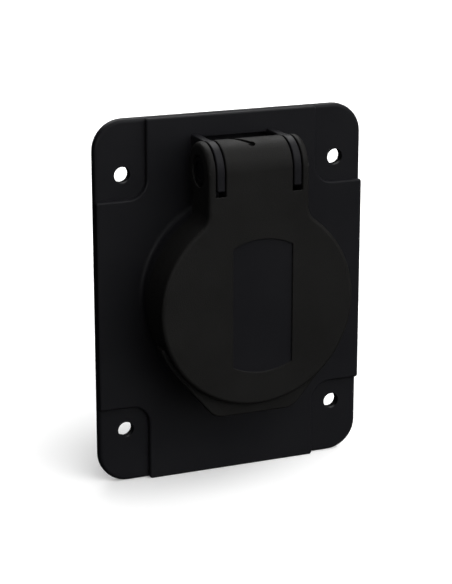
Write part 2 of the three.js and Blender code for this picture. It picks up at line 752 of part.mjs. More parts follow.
function rearCover() {
  const outside = rodY(BARREL_RADIUS, COVER_FRONT, COVER_BACK, 0, AXIS_Z, ROUND_SEGMENTS);
  const innerRadius = BARREL_RADIUS - COVER_WALL;
  const floor = COVER_BACK - COVER_WALL;
  const inside = rodY(innerRadius, COVER_FRONT - CLEAR, floor, 0, AXIS_Z, ROUND_SEGMENTS);
  const towers = COVER_LUGS.map(({ x, z }) =>
    rodY(LUG_RADIUS, COVER_FRONT, floor + COVER_WALL / 2, x, z),
  );
  return cut(
    join(cut(outside, inside), ...towers),
    ...COVER_LUGS.map((at) => screwHole(at, COVER_FRONT, COVER_BACK)),
    rodY(ENTRY_RADIUS, floor - CLEAR, COVER_BACK + CLEAR, 0, AXIS_Z, MEDIUM_SEGMENTS),
  );
}

// A rubber grommet that grips the edge of the cable entry.
function cableGrommet() {
  const front = COVER_BACK - COVER_WALL - FIT_GAP;
  const back = COVER_BACK + FIT_GAP;
  const lip = ENTRY_RADIUS + GROMMET_LIP;
  const waist = ENTRY_RADIUS - FIT_GAP;
  const profile = [
    new THREE.Vector2(GROMMET_BORE, front - GROMMET_LIP),
    new THREE.Vector2(lip, front - GROMMET_LIP),
    new THREE.Vector2(lip, front),
    new THREE.Vector2(waist, front),
    new THREE.Vector2(waist, back),
    new THREE.Vector2(lip, back),
    new THREE.Vector2(lip - GROMMET_TAPER, back + GROMMET_LIP),
    new THREE.Vector2(GROMMET_BORE, back + GROMMET_LIP),
    new THREE.Vector2(GROMMET_BORE, front - GROMMET_LIP),
  ];
  const geometry = new THREE.LatheGeometry(profile, MEDIUM_SEGMENTS);
  geometry.translate(0, 0, AXIS_Z);
  return toSolid(geometry);
}

// Assembly: every solid becomes a named mesh in one group.
function addPart(group, name, solid, finish) {
  const mesh = solid.simplify(SMALLEST_DETAIL).getMesh();
  const geometry = new THREE.BufferGeometry();
  geometry.setAttribute("position", new THREE.BufferAttribute(mesh.vertProperties, 3));
  geometry.setIndex(new THREE.BufferAttribute(mesh.triVerts, 1));
  const part = new THREE.Mesh(geometry, new THREE.MeshStandardMaterial(FINISHES[finish]));
  part.name = name;
  group.add(part);
}

const inlet = new THREE.Group();
addPart(inlet, "flange_housing", flangeHousing(), "housing");
addPart(inlet, "flange_gasket", flangeGasket(), "rubber");
addPart(inlet, "contact_carrier", contactCarrier(), "carrier");
addPart(inlet, "carrier_seal", carrierSeal(), "rubber");
addPart(inlet, "line_blade", blade(CONTACTS.line), "contact");
addPart(inlet, "neutral_blade", blade(CONTACTS.neutral), "contact");
addPart(inlet, "earth_pin", earthPin(CONTACTS.earth), "contact");
for (const name of Object.keys(CONTACTS)) {
  addPart(inlet, `${name}_terminal`, terminal(name), "brass");
  addPart(inlet, `${name}_terminal_screw`, terminalScrew(name), "screw");
}
addPart(inlet, "carrier_screw_left", carrierScrew(CARRIER_LUGS[0]), "screw");
addPart(inlet, "carrier_screw_right", carrierScrew(CARRIER_LUGS[1]), "screw");
addPart(inlet, "rear_cover", rearCover(), "housing");
addPart(inlet, "cover_screw_lower", coverScrew(COVER_LUGS[0]), "screw");
addPart(inlet, "cover_screw_upper", coverScrew(COVER_LUGS[1]), "screw");
addPart(inlet, "cable_grommet", cableGrommet(), "rubber");
addPart(inlet, "lid", lid(), "lid");
addPart(inlet, "lid_gasket", lidGasket(), "rubber");
addPart(inlet, "hinge_pin", hingePin(), "screw");
addPart(inlet, "torsion_spring", torsionSpring(), "spring");

export default inlet;
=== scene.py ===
import json
import math

import bmesh
import bpy
from mathutils import Matrix, Vector


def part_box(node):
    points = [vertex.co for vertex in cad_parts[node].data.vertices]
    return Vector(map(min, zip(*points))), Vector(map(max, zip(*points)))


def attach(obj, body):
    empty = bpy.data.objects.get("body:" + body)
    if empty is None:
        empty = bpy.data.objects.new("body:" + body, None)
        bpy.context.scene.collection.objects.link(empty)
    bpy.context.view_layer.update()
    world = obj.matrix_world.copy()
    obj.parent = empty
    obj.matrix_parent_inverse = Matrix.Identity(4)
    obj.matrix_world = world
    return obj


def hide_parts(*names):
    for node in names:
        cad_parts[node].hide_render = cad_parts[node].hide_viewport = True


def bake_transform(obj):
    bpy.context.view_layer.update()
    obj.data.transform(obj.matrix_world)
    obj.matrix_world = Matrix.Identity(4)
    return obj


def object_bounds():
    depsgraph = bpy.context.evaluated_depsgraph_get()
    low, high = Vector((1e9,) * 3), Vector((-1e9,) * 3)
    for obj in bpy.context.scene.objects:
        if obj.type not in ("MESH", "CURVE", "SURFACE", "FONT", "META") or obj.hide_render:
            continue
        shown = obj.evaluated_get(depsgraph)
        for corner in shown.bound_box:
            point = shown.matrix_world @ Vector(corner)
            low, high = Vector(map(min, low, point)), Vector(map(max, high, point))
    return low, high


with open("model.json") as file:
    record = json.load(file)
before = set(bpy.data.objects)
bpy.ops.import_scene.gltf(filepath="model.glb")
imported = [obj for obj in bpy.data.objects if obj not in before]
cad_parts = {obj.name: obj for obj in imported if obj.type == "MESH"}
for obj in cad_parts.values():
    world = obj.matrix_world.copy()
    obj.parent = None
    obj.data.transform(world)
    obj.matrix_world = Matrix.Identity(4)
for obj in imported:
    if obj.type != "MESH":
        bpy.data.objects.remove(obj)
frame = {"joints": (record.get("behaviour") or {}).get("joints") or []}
cad_low, cad_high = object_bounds()

MM = 0.001
# How far tools reach past the faces that they cut, and welded pieces into each other.
MARGIN = 1.0
ROUND_STEPS = 5
CORNER_STEPS = 10
CIRCLE_STEPS = 128
HOLE_STEPS = 40
PIN_STEPS = 64
SCREW_STEPS = 48
GROMMET_STEPS = 96
SHARP_ANGLE = math.radians(32)
MERGE_DISTANCE = 1e-5

# Edge roundings, from the sharpest to the softest.
EDGE_SHARP = 0.1
EDGE_THIN = 0.12
EDGE_FINE = 0.15
EDGE_SMALL = 0.2
EDGE_LIP = 0.25
EDGE_SOFT = 0.3
EDGE_MOULDED = 0.4
EDGE_ROUND = 0.5
EDGE_FULL = 0.6
EDGE_TOOL_REACH = 0.35


def box_mm(node):
    low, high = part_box(node)
    return low / MM, high / MM


# Driving sizes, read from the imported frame.
HOUSING_HIGH = box_mm("flange_housing")[1]
COVER_LOW, COVER_HIGH = box_mm("rear_cover")
CARRIER_LOW, CARRIER_HIGH = box_mm("contact_carrier")
LID_LOW, LID_HIGH = box_mm("lid")
LID_GASKET_LOW, LID_GASKET_HIGH = box_mm("lid_gasket")
SEAL_LOW, SEAL_HIGH = box_mm("carrier_seal")
GASKET_LOW, GASKET_HIGH = box_mm("flange_gasket")
GROMMET_LOW, GROMMET_HIGH = box_mm("cable_grommet")
PIN_LOW, PIN_HIGH = box_mm("hinge_pin")
HINGE = Vector(frame["joints"][0]["pos_m"]) / MM

# Flange.
HALF_WIDTH = HOUSING_HIGH.x
HALF_HEIGHT = HOUSING_HIGH.z
FLANGE_CORNER = 7.0
FIELD_FRONT = -3.4
PAD_FRONT = -2.2
PAD_INNER_X = 20.6
PAD_INNER_Z = 24.4
PAD_CORNER = 4.4
PLATE_EDGE = 0.9
FIELD_EDGE = 0.5
PAD_STEP_CORNER = 0.65
FIXING_X = 26.0
FIXING_Z = 30.0
FIXING_RADIUS = 1.85
RIM_WIDTH = 2.0
POCKET_DEPTH = 1.0

# Round body.
AXIS = Vector((0.0, 0.0, (COVER_LOW.z + COVER_HIGH.z) / 2))
BARREL_RADIUS = COVER_HIGH.x
BARREL_END = HOUSING_HIGH.y
BORE_RADIUS = 19.0
COLLAR_RADIUS = 22.0
COLLAR_FILLET = 1.2
COLLAR_STEP = -8.4
FOOT_WELD = 0.2
FOOT_DEPTH = 1.2
FOOT_RISE = 0.4
BORE_WELD = 0.4
RIM_RADIUS = 20.6
RIM_FRONT = -15.0
LUG_RADIUS = 3.3
LUG_FRONT = 13.0
CARRIER_LUG_X = 13.0
CARRIER_LUG_DROP = 4.8
COVER_LUG_OFFSET = 15.8
SCREW_HOLE_RADIUS = 1.8
LUG_WELD = 1.5

# Rear cover, grommet and seals.
COVER_WALL = 1.8
COVER_INNER_ROUND = 1.0
COVER_OUTER_ROUND = 1.8
ENTRY_RADIUS = 6.0
GROMMET_BORE = 4.0
GROMMET_TAPER = 0.4
GASKET_HOLE_RADIUS = 22.4
CARRIER_SEAL_WIDTH = 1.4
CARRIER_SEAL_EDGE = 0.45
LID_SEAL_WIDTH = 3.0

# Hinge.
HINGE_RADIUS = HINGE.y - LID_LOW.y
EAR_INNER = 8.2
EAR_OUTER = 10.0
EAR_BOTTOM = 28.2
EAR_ROOT_BOTTOM = 25.6
EAR_EDGE = 0.28
EAR_ROOT_TOP = 38.2
EAR_CREST = 2.3
EAR_STEPS = 24
RECESS_CENTRE_X = 0.4
RECESS_HALF_WIDTH = 7.8
RECESS_TOP = 37.5
RECESS_DEPTH = 2.0
LEDGE_FRONT = -11.2
LEDGE_TOP = 24.9
LEDGE_BOTTOM = 20.0
LEDGE_HALF_WIDTH = 7.0
PIN_RADIUS = 1.5
PIN_BORE = 1.6
PIN_HEAD_RADIUS = PIN_HIGH.z - HINGE.z
PIN_HEAD_LENGTH = 0.8
PIN_HEAD_EDGE = 0.35
PIN_RIM_DEPTH = 0.25
PIN_RIM_INNER = 1.9
PIN_RIM_OUTER = 2.2

# Lid.
LID_RADIUS = LID_HIGH.x
LID_FRONT = LID_LOW.y
LID_BACK = -9.0
LID_FACE = 2.2
LID_WALL = 1.6
LID_EDGE = 0.9
LID_INNER_ROUND = 0.8
NECK_HALF_WIDTH = PIN_HIGH.x + 0.2
NECK_FLARE = 4.0
SLOT_INNER = 7.9
SLOT_OUTER = 10.3
SLOT_RADIUS = 8.0
SLOT_EDGE = 0.3
SLOT_STEPS = 36
KNUCKLE_BORE = 5.0
KNUCKLE_EDGE = 1.1
OPENING_START = -110.0
OPENING_END = 65.0
OPENING_STEPS = 40
WINDOW_X = 0.9
WINDOW_HALF_WIDTH = 7.15
WINDOW_RADIUS = 15.45
WINDOW_DEPTH = 0.4
WINDOW_EDGE = 0.14
WINDOW_STEPS = 20
FLAT_WITHIN = 0.05
TAB_FRONT = -16.6
TAB_BACK = -13.0
TAB_BOTTOM = LID_LOW.z
TAB_SIDE_ANGLE = 40.0
TAB_CORNER = 4.4
TAB_EDGE = 0.5
LIP_RADIUS = 24.0
LIP_END_ANGLE = 20.0

# Torsion spring.
WIRE_RADIUS = 0.4
DOME_ANGLES = (0, 30, 60, 80)
COIL_RADIUS = 3.2
COIL_TURNS = 6.94
COIL_START_X = 5.4
COIL_END_X = -5.0
COIL_STEPS = 28
FIXED_LEG_X = COIL_START_X + 0.3
FIXED_LEG_DEPTH = 1.6
FIXED_LEG_LEAN = 0.05
LEG_HOLE_RADIUS = 1.0
LEG_HOLE_DEPTH = 2.2
GROOVE_RADIUS = 0.75
GROOVE_END_RADIUS = 0.85
GROOVE_END_X = COIL_END_X + 4.5
GROOVE_END_ANGLE = 116
GROOVE_END_LEVELS = (5.3, HINGE_RADIUS + MARGIN)
LEG_SINK = 0.2

# Contacts and fasteners.
FIT_GAP = 0.3
BLADE_EDGE = 0.3
BLADE_TIP_CORNER = 1.4
EARTH_NOSE = 1.5
FACE_GROOVE_INNER = 2.4
FACE_GROOVE_OUTER = 1.0
FACE_GROOVE_SLOPE = 0.3
FACE_GROOVE_DEPTH = 0.5
SEAL_GROOVE_RADIUS = 17.4
SCREW_SEAT_SPARE = 0.5
SCREW_SLOT_WIDTH = 0.8
SCREW_SLOT_DEPTH = 0.8
SCREW_SLOT_LIP = 0.08
SCREW_HEAD_LENGTH = 1.8
SCREW_HEAD_ROUND = 0.75
SCREW_SHANK_RADIUS = 1.45
THREAD_DEPTH = 0.22
THREAD_PITCH = 0.6
WIRE_HOLE_RADIUS = 1.3
WIRE_HOLE_LEVEL = 2.4
TERMINAL_EDGE = 0.35


# Outlines: closed lists of 2-D points.
def arc(centre, radius, start, end, steps=CORNER_STEPS):
    """Points on a circle from one angle to another, in degrees."""
    angles = [math.radians(start + (end - start) * k / steps) for k in range(steps + 1)]
    return [Vector(centre) + radius * Vector((math.cos(a), math.sin(a))) for a in angles]


def circle(centre, radius, steps=HOLE_STEPS):
    return arc(centre, radius, 0, 360, steps)[:-1]


def rounded_path(corners, steps=CORNER_STEPS):
    """A closed outline through corners of (u, v, radius), each turned into an arc of its radius."""
    points = []
    for i, (u, v, radius) in enumerate(corners):
        here = Vector((u, v))
        if radius <= 0:
            points.append(here)
            continue
        back = (Vector(corners[i - 1][:2]) - here).normalized()
        on = (Vector(corners[(i + 1) % len(corners)][:2]) - here).normalized()
        half = back.angle(on) / 2
        centre = here + (back + on).normalized() * radius / math.sin(half)
        start = here + back * radius / math.tan(half) - centre
        end = here + on * radius / math.tan(half) - centre
        first = math.degrees(math.atan2(start.y, start.x))
        turn = math.degrees(math.atan2(end.y, end.x)) - first
        turn = (turn + 180) % 360 - 180
        points += arc(centre, radius, first, first + turn, steps)
    return points


def rectangle(low_u, high_u, low_v, high_v, radius=0.0):
    corners = [(low_u, low_v), (high_u, low_v), (high_u, high_v), (low_u, high_v)]
    return rounded_path([(u, v, radius) for u, v in corners])


def anticlockwise(outline):
    area = sum(
        outline[i - 1].x * here.y - here.x * outline[i - 1].y for i, here in enumerate(outline)
    )
    return outline if area > 0 else outline[::-1]


def inset_outline(outline, distance):
    """The outline moved inwards by a distance, or outwards if it is negative."""
    moved = []
    for i, here in enumerate(outline):
        into = (here - outline[i - 1]).normalized()
        away = (outline[(i + 1) % len(outline)] - here).normalized()
        first = Vector((-into.y, into.x))
        second = Vector((-away.y, away.x))
        middle = (first + second).normalized()
        moved.append(here + middle * distance / middle.dot(first))
    return moved


# Solids: closed meshes in millimetres.
def solid_from_rings(rings, closed=False):
    """Joins rings of 3-D points by quads, and closes both ends unless the rings close on themselves."""
    mesh = bpy.data.meshes.new("solid")
    shape = bmesh.new()
    rows = [[shape.verts.new(point) for point in ring] for ring in rings]
    pairs = list(zip(rows, rows[1:] + rows[:1] if closed else rows[1:]))
    for lower, upper in pairs:
        for i in range(len(lower)):
            shape.faces.new((lower[i - 1], lower[i], upper[i], upper[i - 1]))
    if not closed:
        shape.faces.new(rows[0][::-1])
        shape.faces.new(rows[-1])
    bmesh.ops.remove_doubles(shape, verts=shape.verts, dist=MERGE_DISTANCE)
    bmesh.ops.recalc_face_normals(shape, faces=shape.faces)
    shape.to_mesh(mesh)
    shape.free()
    solid = bpy.data.objects.new("solid", mesh)
    bpy.context.scene.collection.objects.link(solid)
    return solid


def place(point, level, axis):
    """A 2-D outline point at a level along the named axis."""
    u, v = point
    return {"X": (level, u, v), "Y": (u, level, v), "Z": (u, v, level)}[axis]


def rounded_end(level, inward, radius):
    """Stations (level, inset) of a solid's end whose edge is rounded."""
    if radius <= 0:
        return [(level, 0.0)]
    angles = [math.pi / 2 * k / ROUND_STEPS for k in range(ROUND_STEPS + 1)]
    return [
        (level + inward * radius * (1 - math.cos(a)), radius * (1 - math.sin(a))) for a in angles
    ]


def flared_end(level, inward, radius):
    """Stations of a cutting tool's open end, which leaves a rounded lip round the opening."""
    stations = [(level - inward * MARGIN, -radius)]
    if radius <= 0:
        return stations
    angles = [math.pi / 2 * k / ROUND_STEPS for k in range(ROUND_STEPS, -1, -1)]
    return stations + [
        (level + inward * radius * (1 - math.sin(a)), -radius * (1 - math.cos(a))) for a in angles
    ]


def loft(outline, stations, axis):
    outline = anticlockwise(outline)
    rings = []
    for level, inset in stations:
        rings.append([place(p, level, axis) for p in inset_outline(outline, inset)])
    return solid_from_rings(rings)


def prism(outline, low, high, round_low=0.0, round_high=0.0, axis="Y"):
    """The outline drawn out between two levels, with rounded edges at its ends."""
    stations = rounded_end(low, 1, round_low) + rounded_end(high, -1, round_high)[::-1]
    return loft(outline, stations, axis)


def opening(outline, surface, floor, lip=0.0, floor_round=0.0, axis="Y"):
    """A tool for a recess from a surface down to a floor."""
    inward = math.copysign(1, floor - surface)
    stations = flared_end(surface, inward, lip) + rounded_end(floor, -inward, floor_round)[::-1]
    return loft(outline, stations, axis)


def through(outline, low, high, lip=0.0, axis="Y"):
    """A tool for an opening right through, between two surfaces."""
    stations = flared_end(low, 1, lip) + flared_end(high, -1, lip)[::-1]
    return loft(outline, stations, axis)


def turned(profile, centre=(0.0, 0.0), steps=CIRCLE_STEPS, axis="Y"):
    """A closed profile of (radius, level) turned about an axis through centre."""
    rings = []
    for k in range(steps):
        angle = 2 * math.pi * k / steps
        direction = Vector((math.cos(angle), math.sin(angle)))
        rings.append([place(Vector(centre) + r * direction, level, axis) for r, level in profile])
    return solid_from_rings(rings, closed=True)


def sweep(path, frames, section):
    """A section of (side, up) points drawn along a path, with a (side, up) pair of axes at each point."""
    rings = []
    for point, (side, up) in zip(path, frames):
        rings.append([point + side * s + up * t for s, t in section])
    return solid_from_rings(rings)


def wire(path, radius, sides=14):
    """A round wire with domed ends along a path."""
    tangents = [
        (path[min(i + 1, len(path) - 1)] - path[max(i - 1, 0)]).normalized()
        for i in range(len(path))
    ]
    side = tangents[0].orthogonal().normalized()
    rings = []
    for i, (point, along) in enumerate(zip(path, tangents)):
        side = (side - along * side.dot(along)).normalized()
        up = along.cross(side)
        ends = {0: -1, len(path) - 1: 1}
        dome = [(0.0, 1.0)]
        if i in ends:
            angles = [math.radians(a) for a in DOME_ANGLES]
            dome = [(ends[i] * math.sin(a), math.cos(a)) for a in angles]
            dome = dome[::-1] if i == 0 else dome
        for shift, scale in dome:
            centre = point + along * radius * shift
            rings.append([
                centre + radius * scale * (side * math.cos(a) + up * math.sin(a))
                for a in (2 * math.pi * k / sides for k in range(sides))
            ])
    return solid_from_rings(rings)


def combine(base, operation, tools):
    """Joins tools to a base or cuts them from it, and removes the tools."""
    for tool in tools:
        modifier = base.modifiers.new("combine", "BOOLEAN")
        modifier.operation = operation
        modifier.solver = "MANIFOLD"
        modifier.object = tool
    graph = bpy.context.evaluated_depsgraph_get()
    made = bpy.data.meshes.new_from_object(base.evaluated_get(graph))
    base.modifiers.clear()
    base.data = made
    for tool in tools:
        bpy.data.objects.remove(tool)
    return base


def join(base, *tools):
    return combine(base, "UNION", tools)


def cut(base, *tools):
    return combine(base, "DIFFERENCE", tools)


def common(base, tool):
    return combine(base, "INTERSECT", [tool])


def edge_tool(path, side, ups, radius):
    """A tool that rounds a sharp edge: side points into the wall, and ups point out of its surface."""
    outside = EDGE_TOOL_REACH
    corner = Vector((radius, -radius))
    curve = [corner + p for p in arc((0, 0), radius, 180, 90, ROUND_STEPS)]
    section = [Vector((-outside, -radius))] + curve
    section += [Vector((radius, outside)), Vector((-outside, outside))]
    return sweep(path, [(side, up) for up in ups], section)


# Flange housing.
def fixing_places():
    return [(x, z) for x in (-FIXING_X, FIXING_X) for z in (-FIXING_Z, FIXING_Z)]


def flange_plate():
    """The thin plate that carries the four corner pads, and the raised cross-shaped field between them."""
    whole = rectangle(-HALF_WIDTH, HALF_WIDTH, -HALF_HEIGHT, HALF_HEIGHT, FLANGE_CORNER)
    plate = prism(whole, PAD_FRONT, 0.0, PLATE_EDGE, FIT_GAP)
    quarter = [
        (HALF_WIDTH, PAD_INNER_Z, PAD_STEP_CORNER),
        (PAD_INNER_X, PAD_INNER_Z, PAD_CORNER),
        (PAD_INNER_X, HALF_HEIGHT, PAD_STEP_CORNER),
    ]
    corners = []
    for turn_x, turn_z in ((1, 1), (-1, 1), (-1, -1), (1, -1)):
        side = [(turn_x * x, turn_z * z, r) for x, z, r in quarter]
        corners += side if turn_x * turn_z > 0 else side[::-1]
    field = prism(rounded_path(corners), FIELD_FRONT, -PLATE_EDGE / 2, FIELD_EDGE)
    return join(plate, field)


def round_body():
    """The collar in front of the flange and the barrel behind it, with the bore."""
    foot_radius = COLLAR_RADIUS + COLLAR_FILLET + FOOT_WELD
    profile = rounded_path([
        (BORE_RADIUS, RIM_FRONT, EDGE_ROUND),
        (RIM_RADIUS, RIM_FRONT, EDGE_ROUND),
        (RIM_RADIUS, COLLAR_STEP, EDGE_SOFT),
        (COLLAR_RADIUS, COLLAR_STEP, EDGE_MOULDED),
        (COLLAR_RADIUS, FIELD_FRONT, COLLAR_FILLET),
        (foot_radius, FIELD_FRONT, 0),
        (foot_radius, FIELD_FRONT + FOOT_DEPTH, 0),
        (BARREL_RADIUS, -POCKET_DEPTH - FOOT_RISE, 0),
        (BARREL_RADIUS, BARREL_END, EDGE_ROUND),
        (BORE_RADIUS, BARREL_END, EDGE_SOFT),
    ], ROUND_STEPS)
    return turned(profile, (AXIS.x, AXIS.z))


def ear(side):
    """One fixed ear: round over the hinge axis, straight down its front, and rooted on the flange."""
    front = HINGE.y - HINGE_RADIUS
    corners = [
        (FIELD_FRONT + MARGIN, EAR_ROOT_BOTTOM, 0),
        (FIELD_FRONT + MARGIN, EAR_ROOT_TOP, 0),
        (HINGE.y + EAR_CREST, EAR_ROOT_TOP, 0),
    ]
    corners += [(*point, 0) for point in arc((HINGE.y, HINGE.z), HINGE_RADIUS, 90, 180, EAR_STEPS)]
    corners += [
        (front, EAR_BOTTOM, EDGE_ROUND),
        (HINGE.y, EAR_BOTTOM, EDGE_FULL),
        (LEDGE_FRONT + MARGIN, EAR_ROOT_BOTTOM, 0),
    ]
    low, high = sorted((side * EAR_INNER, side * EAR_OUTER))
    return prism(rounded_path(corners), low, high, EAR_EDGE, EAR_EDGE, "X")


def lug(x, z):
    """A screw boss inside the barrel, with a web out to its wall."""
    outward = Vector((x, z - AXIS.z)).normalized()
    across = Vector((-outward.y, outward.x)) * LUG_RADIUS
    centre = Vector((x, z))
    wall = Vector((AXIS.x, AXIS.z)) + outward * (BORE_RADIUS + LUG_WELD)
    outline = [centre + across, centre - across, wall - across, wall + across]
    web = prism(outline, LUG_FRONT, BARREL_END)
    barrel = circle((AXIS.x, AXIS.z), BORE_RADIUS + LUG_WELD / 3, CIRCLE_STEPS)
    web = common(web, prism(barrel, LUG_FRONT, BARREL_END - FIT_GAP))
    boss = prism(circle(centre, LUG_RADIUS), LUG_FRONT, BARREL_END, EDGE_SOFT, EDGE_SOFT)
    return join(boss, web)


def lug_places():
    """The screw bosses: two at the sides for the carrier, then two below and above for the rear cover."""
    sides = [(side * CARRIER_LUG_X, AXIS.z - CARRIER_LUG_DROP) for side in (-1, 1)]
    return sides + [(0.0, AXIS.z + side * COVER_LUG_OFFSET) for side in (-1, 1)]


def hinge_recess():
    """A tool for the shallow recess behind the hinge."""
    outline = rectangle(
        RECESS_CENTRE_X - RECESS_HALF_WIDTH, RECESS_CENTRE_X + RECESS_HALF_WIDTH,
        LEDGE_TOP, RECESS_TOP, EDGE_ROUND,
    )
    return opening(outline, FIELD_FRONT, FIELD_FRONT + RECESS_DEPTH, EDGE_THIN)


def spring_ledge():
    """The block over the collar that holds the spring's fixed leg."""
    outline = rectangle(-LEDGE_HALF_WIDTH, LEDGE_HALF_WIDTH, LEDGE_BOTTOM, LEDGE_TOP, EDGE_FULL)
    ledge = prism(outline, LEDGE_FRONT, FIELD_FRONT + MARGIN, EDGE_FULL)
    inner = circle((AXIS.x, AXIS.z), BORE_RADIUS + MARGIN, CIRCLE_STEPS)
    return cut(ledge, prism(inner, RIM_FRONT, MARGIN))


def gasket_pocket():
    """A tool for the pocket in the flange's back, round the barrel."""
    outline = rectangle(
        RIM_WIDTH - HALF_WIDTH, HALF_WIDTH - RIM_WIDTH,
        RIM_WIDTH - HALF_HEIGHT, HALF_HEIGHT - RIM_WIDTH, FLANGE_CORNER - RIM_WIDTH,
    )
    pocket = opening(outline, 0.0, -POCKET_DEPTH, EDGE_SMALL)
    barrel = circle((AXIS.x, AXIS.z), BARREL_RADIUS, CIRCLE_STEPS)
    return cut(pocket, prism(barrel, FIELD_FRONT, -FIELD_FRONT))


def housing_holes():
    """Tools for the fixing holes, the screw holes, the pin's bore and the hole for the fixed leg."""
    holes = [
        through(circle(at, FIXING_RADIUS), PAD_FRONT, -POCKET_DEPTH, EDGE_THIN) for at in fixing_places()
    ]
    holes += [
        through(circle(at, SCREW_HOLE_RADIUS), LUG_FRONT, BARREL_END, EDGE_SMALL) for at in lug_places()
    ]
    pin_face = circle((HINGE.y, HINGE.z), PIN_BORE)
    holes.append(through(pin_face, -EAR_OUTER, EAR_OUTER, EDGE_SMALL, "X"))
    leg_face = circle((FIXED_LEG_X, HINGE.y + COIL_RADIUS), LEG_HOLE_RADIUS)
    holes.append(opening(leg_face, LEDGE_TOP, LEDGE_TOP - LEG_HOLE_DEPTH, EDGE_SMALL, 0, "Z"))
    return holes


def flange_housing():
    bore = circle((AXIS.x, AXIS.z), BORE_RADIUS + BORE_WELD, CIRCLE_STEPS)
    plate = cut(flange_plate(), gasket_pocket(), prism(bore, LEDGE_FRONT, MARGIN), hinge_recess())
    housing = join(plate, round_body(), spring_ledge(), ear(-1), ear(1))
    housing = join(housing, *[lug(x, z) for x, z in lug_places()])
    return cut(housing, *housing_holes())


# Lid.
def lid_outline(inset, top):
    """A disc and a neck with concave flares that ends at height top."""
    radius = LID_RADIUS - inset
    half_neck = NECK_HALF_WIDTH - inset
    flare = NECK_FLARE + inset
    flare_x = half_neck + flare
    flare_up = math.sqrt((radius + flare) ** 2 - flare_x**2)
    angle = math.degrees(math.atan2(flare_up, flare_x))
    outline = [Vector((half_neck, top)), Vector((-half_neck, top))]
    outline += arc((-flare_x, AXIS.z + flare_up), flare, 0, -angle)
    outline += arc((0, AXIS.z), radius, 180 - angle, 360 + angle, CIRCLE_STEPS)[1:-1]
    outline += arc((flare_x, AXIS.z + flare_up), flare, 180 + angle, 180)
    return outline


def tab_outline():
    """A lip behind the disc's edge, whose straight sides run on down to a flat bottom."""
    side = math.radians(TAB_SIDE_ANGLE)
    rise = TAB_BOTTOM - AXIS.z
    corner_x = (LIP_RADIUS + rise * math.sin(side)) / math.cos(side)
    centre = (AXIS.x, AXIS.z)
    right = arc(centre, LIP_RADIUS, -LIP_END_ANGLE, -TAB_SIDE_ANGLE)
    left = arc(centre, LIP_RADIUS, 180 + TAB_SIDE_ANGLE, 180 + LIP_END_ANGLE)
    corners = [(*point, 0) for point in right]
    corners += [(corner_x, TAB_BOTTOM, TAB_CORNER), (-corner_x, TAB_BOTTOM, TAB_CORNER)]
    corners += [(*point, 0) for point in left]
    return rounded_path(corners)


def window_outline():
    """Straight sides, and ends that follow the disc."""
    angle = math.degrees(math.acos(WINDOW_HALF_WIDTH / WINDOW_RADIUS))
    upper = arc((WINDOW_X, AXIS.z), WINDOW_RADIUS, angle, 180 - angle, WINDOW_STEPS)
    lower = arc((WINDOW_X, AXIS.z), WINDOW_RADIUS, 180 + angle, 360 - angle, WINDOW_STEPS)
    return upper + lower


def about_hinge(x, radius, degrees):
    """A point round the hinge axis. Angle 0 points to the panel, and 90 degrees up."""
    angle = math.radians(degrees)
    return Vector((x, HINGE.y + radius * math.cos(angle), HINGE.z + radius * math.sin(angle)))


def hinge_rod(radius, low, high, edge=0.0, steps=CIRCLE_STEPS):
    """A round bar along the hinge axis."""
    return prism(circle((HINGE.y, HINGE.z), radius, steps), low, high, edge, edge, "X")


def slot_edge_tools(low, high):
    """Tools that round the edges of one ear slot, round the knuckle and down the neck."""
    angles = [OPENING_END + (180 - OPENING_END) * k / SLOT_STEPS for k in range(SLOT_STEPS + 1)]
    foot = HINGE.z - math.sqrt(SLOT_RADIUS**2 - HINGE_RADIUS**2)
    tools = []
    for x, side in ((low, -1), (high, 1)):
        path = [about_hinge(x, HINGE_RADIUS, a) for a in angles]
        ups = [about_hinge(0, 1, a) - HINGE for a in angles]
        path.append(Vector((x, LID_FRONT, foot)))
        ups.append(Vector((0, -1, 0)))
        tools.append(edge_tool(path, Vector((side, 0, 0)), ups, SLOT_EDGE))
    across = [Vector((x, LID_FRONT, foot)) for x in (low, high)]
    tools.append(edge_tool(across, Vector((0, 0, -1)), [Vector((0, -1, 0))] * 2, SLOT_EDGE))
    return tools


def free_leg_path(sink=0.0):
    """The spring's free leg, out of the knuckle's opening, over its top and into a small hole."""
    places = [
        (COIL_END_X - 0.2, 4.3, 14),
        (COIL_END_X - 0.3, 5.4, 36),
        (COIL_END_X - 0.2, 6.2 - sink, 54),
        (COIL_END_X + 0.6, 6.0 - sink, 74),
        (COIL_END_X + 2.2, 6.0 - sink, 94),
        (COIL_END_X + 4.2, 6.0 - sink, 113),
        (COIL_END_X + 4.8, 5.2, 118),
    ]
    return [about_hinge(*at) for at in places]


def groove_tools():
    """The groove that the free leg lies in, and the small hole at its end."""
    hole = [about_hinge(GROOVE_END_X, level, GROOVE_END_ANGLE) for level in GROOVE_END_LEVELS]
    return wire(smooth_path(free_leg_path()[1:]), GROOVE_RADIUS), wire(hole, GROOVE_END_RADIUS)


def smooth_path(points, steps=8):
    """A Catmull-Rom curve through the points."""
    ends = [2 * points[0] - points[1], *points, 2 * points[-1] - points[-2]]
    path = []
    for a, b, c, d in zip(ends, ends[1:], ends[2:], ends[3:]):
        for k in range(steps):
            t = k / steps
            path.append(0.5 * (
                2 * b + (c - a) * t + (2 * a - 5 * b + 4 * c - d) * t**2
                + (3 * b - a - 3 * c + d) * t**3
            ))
    return path + [points[-1].copy()]


def rear_opening():
    """The gap under and behind the middle knuckle, where the spring goes in."""
    reach = HINGE_RADIUS + 2 * MARGIN
    rim = arc((HINGE.y, HINGE.z), reach, OPENING_START, OPENING_END, OPENING_STEPS)
    return prism([Vector((HINGE.y, HINGE.z)), *rim], -SLOT_INNER, SLOT_INNER, axis="X")


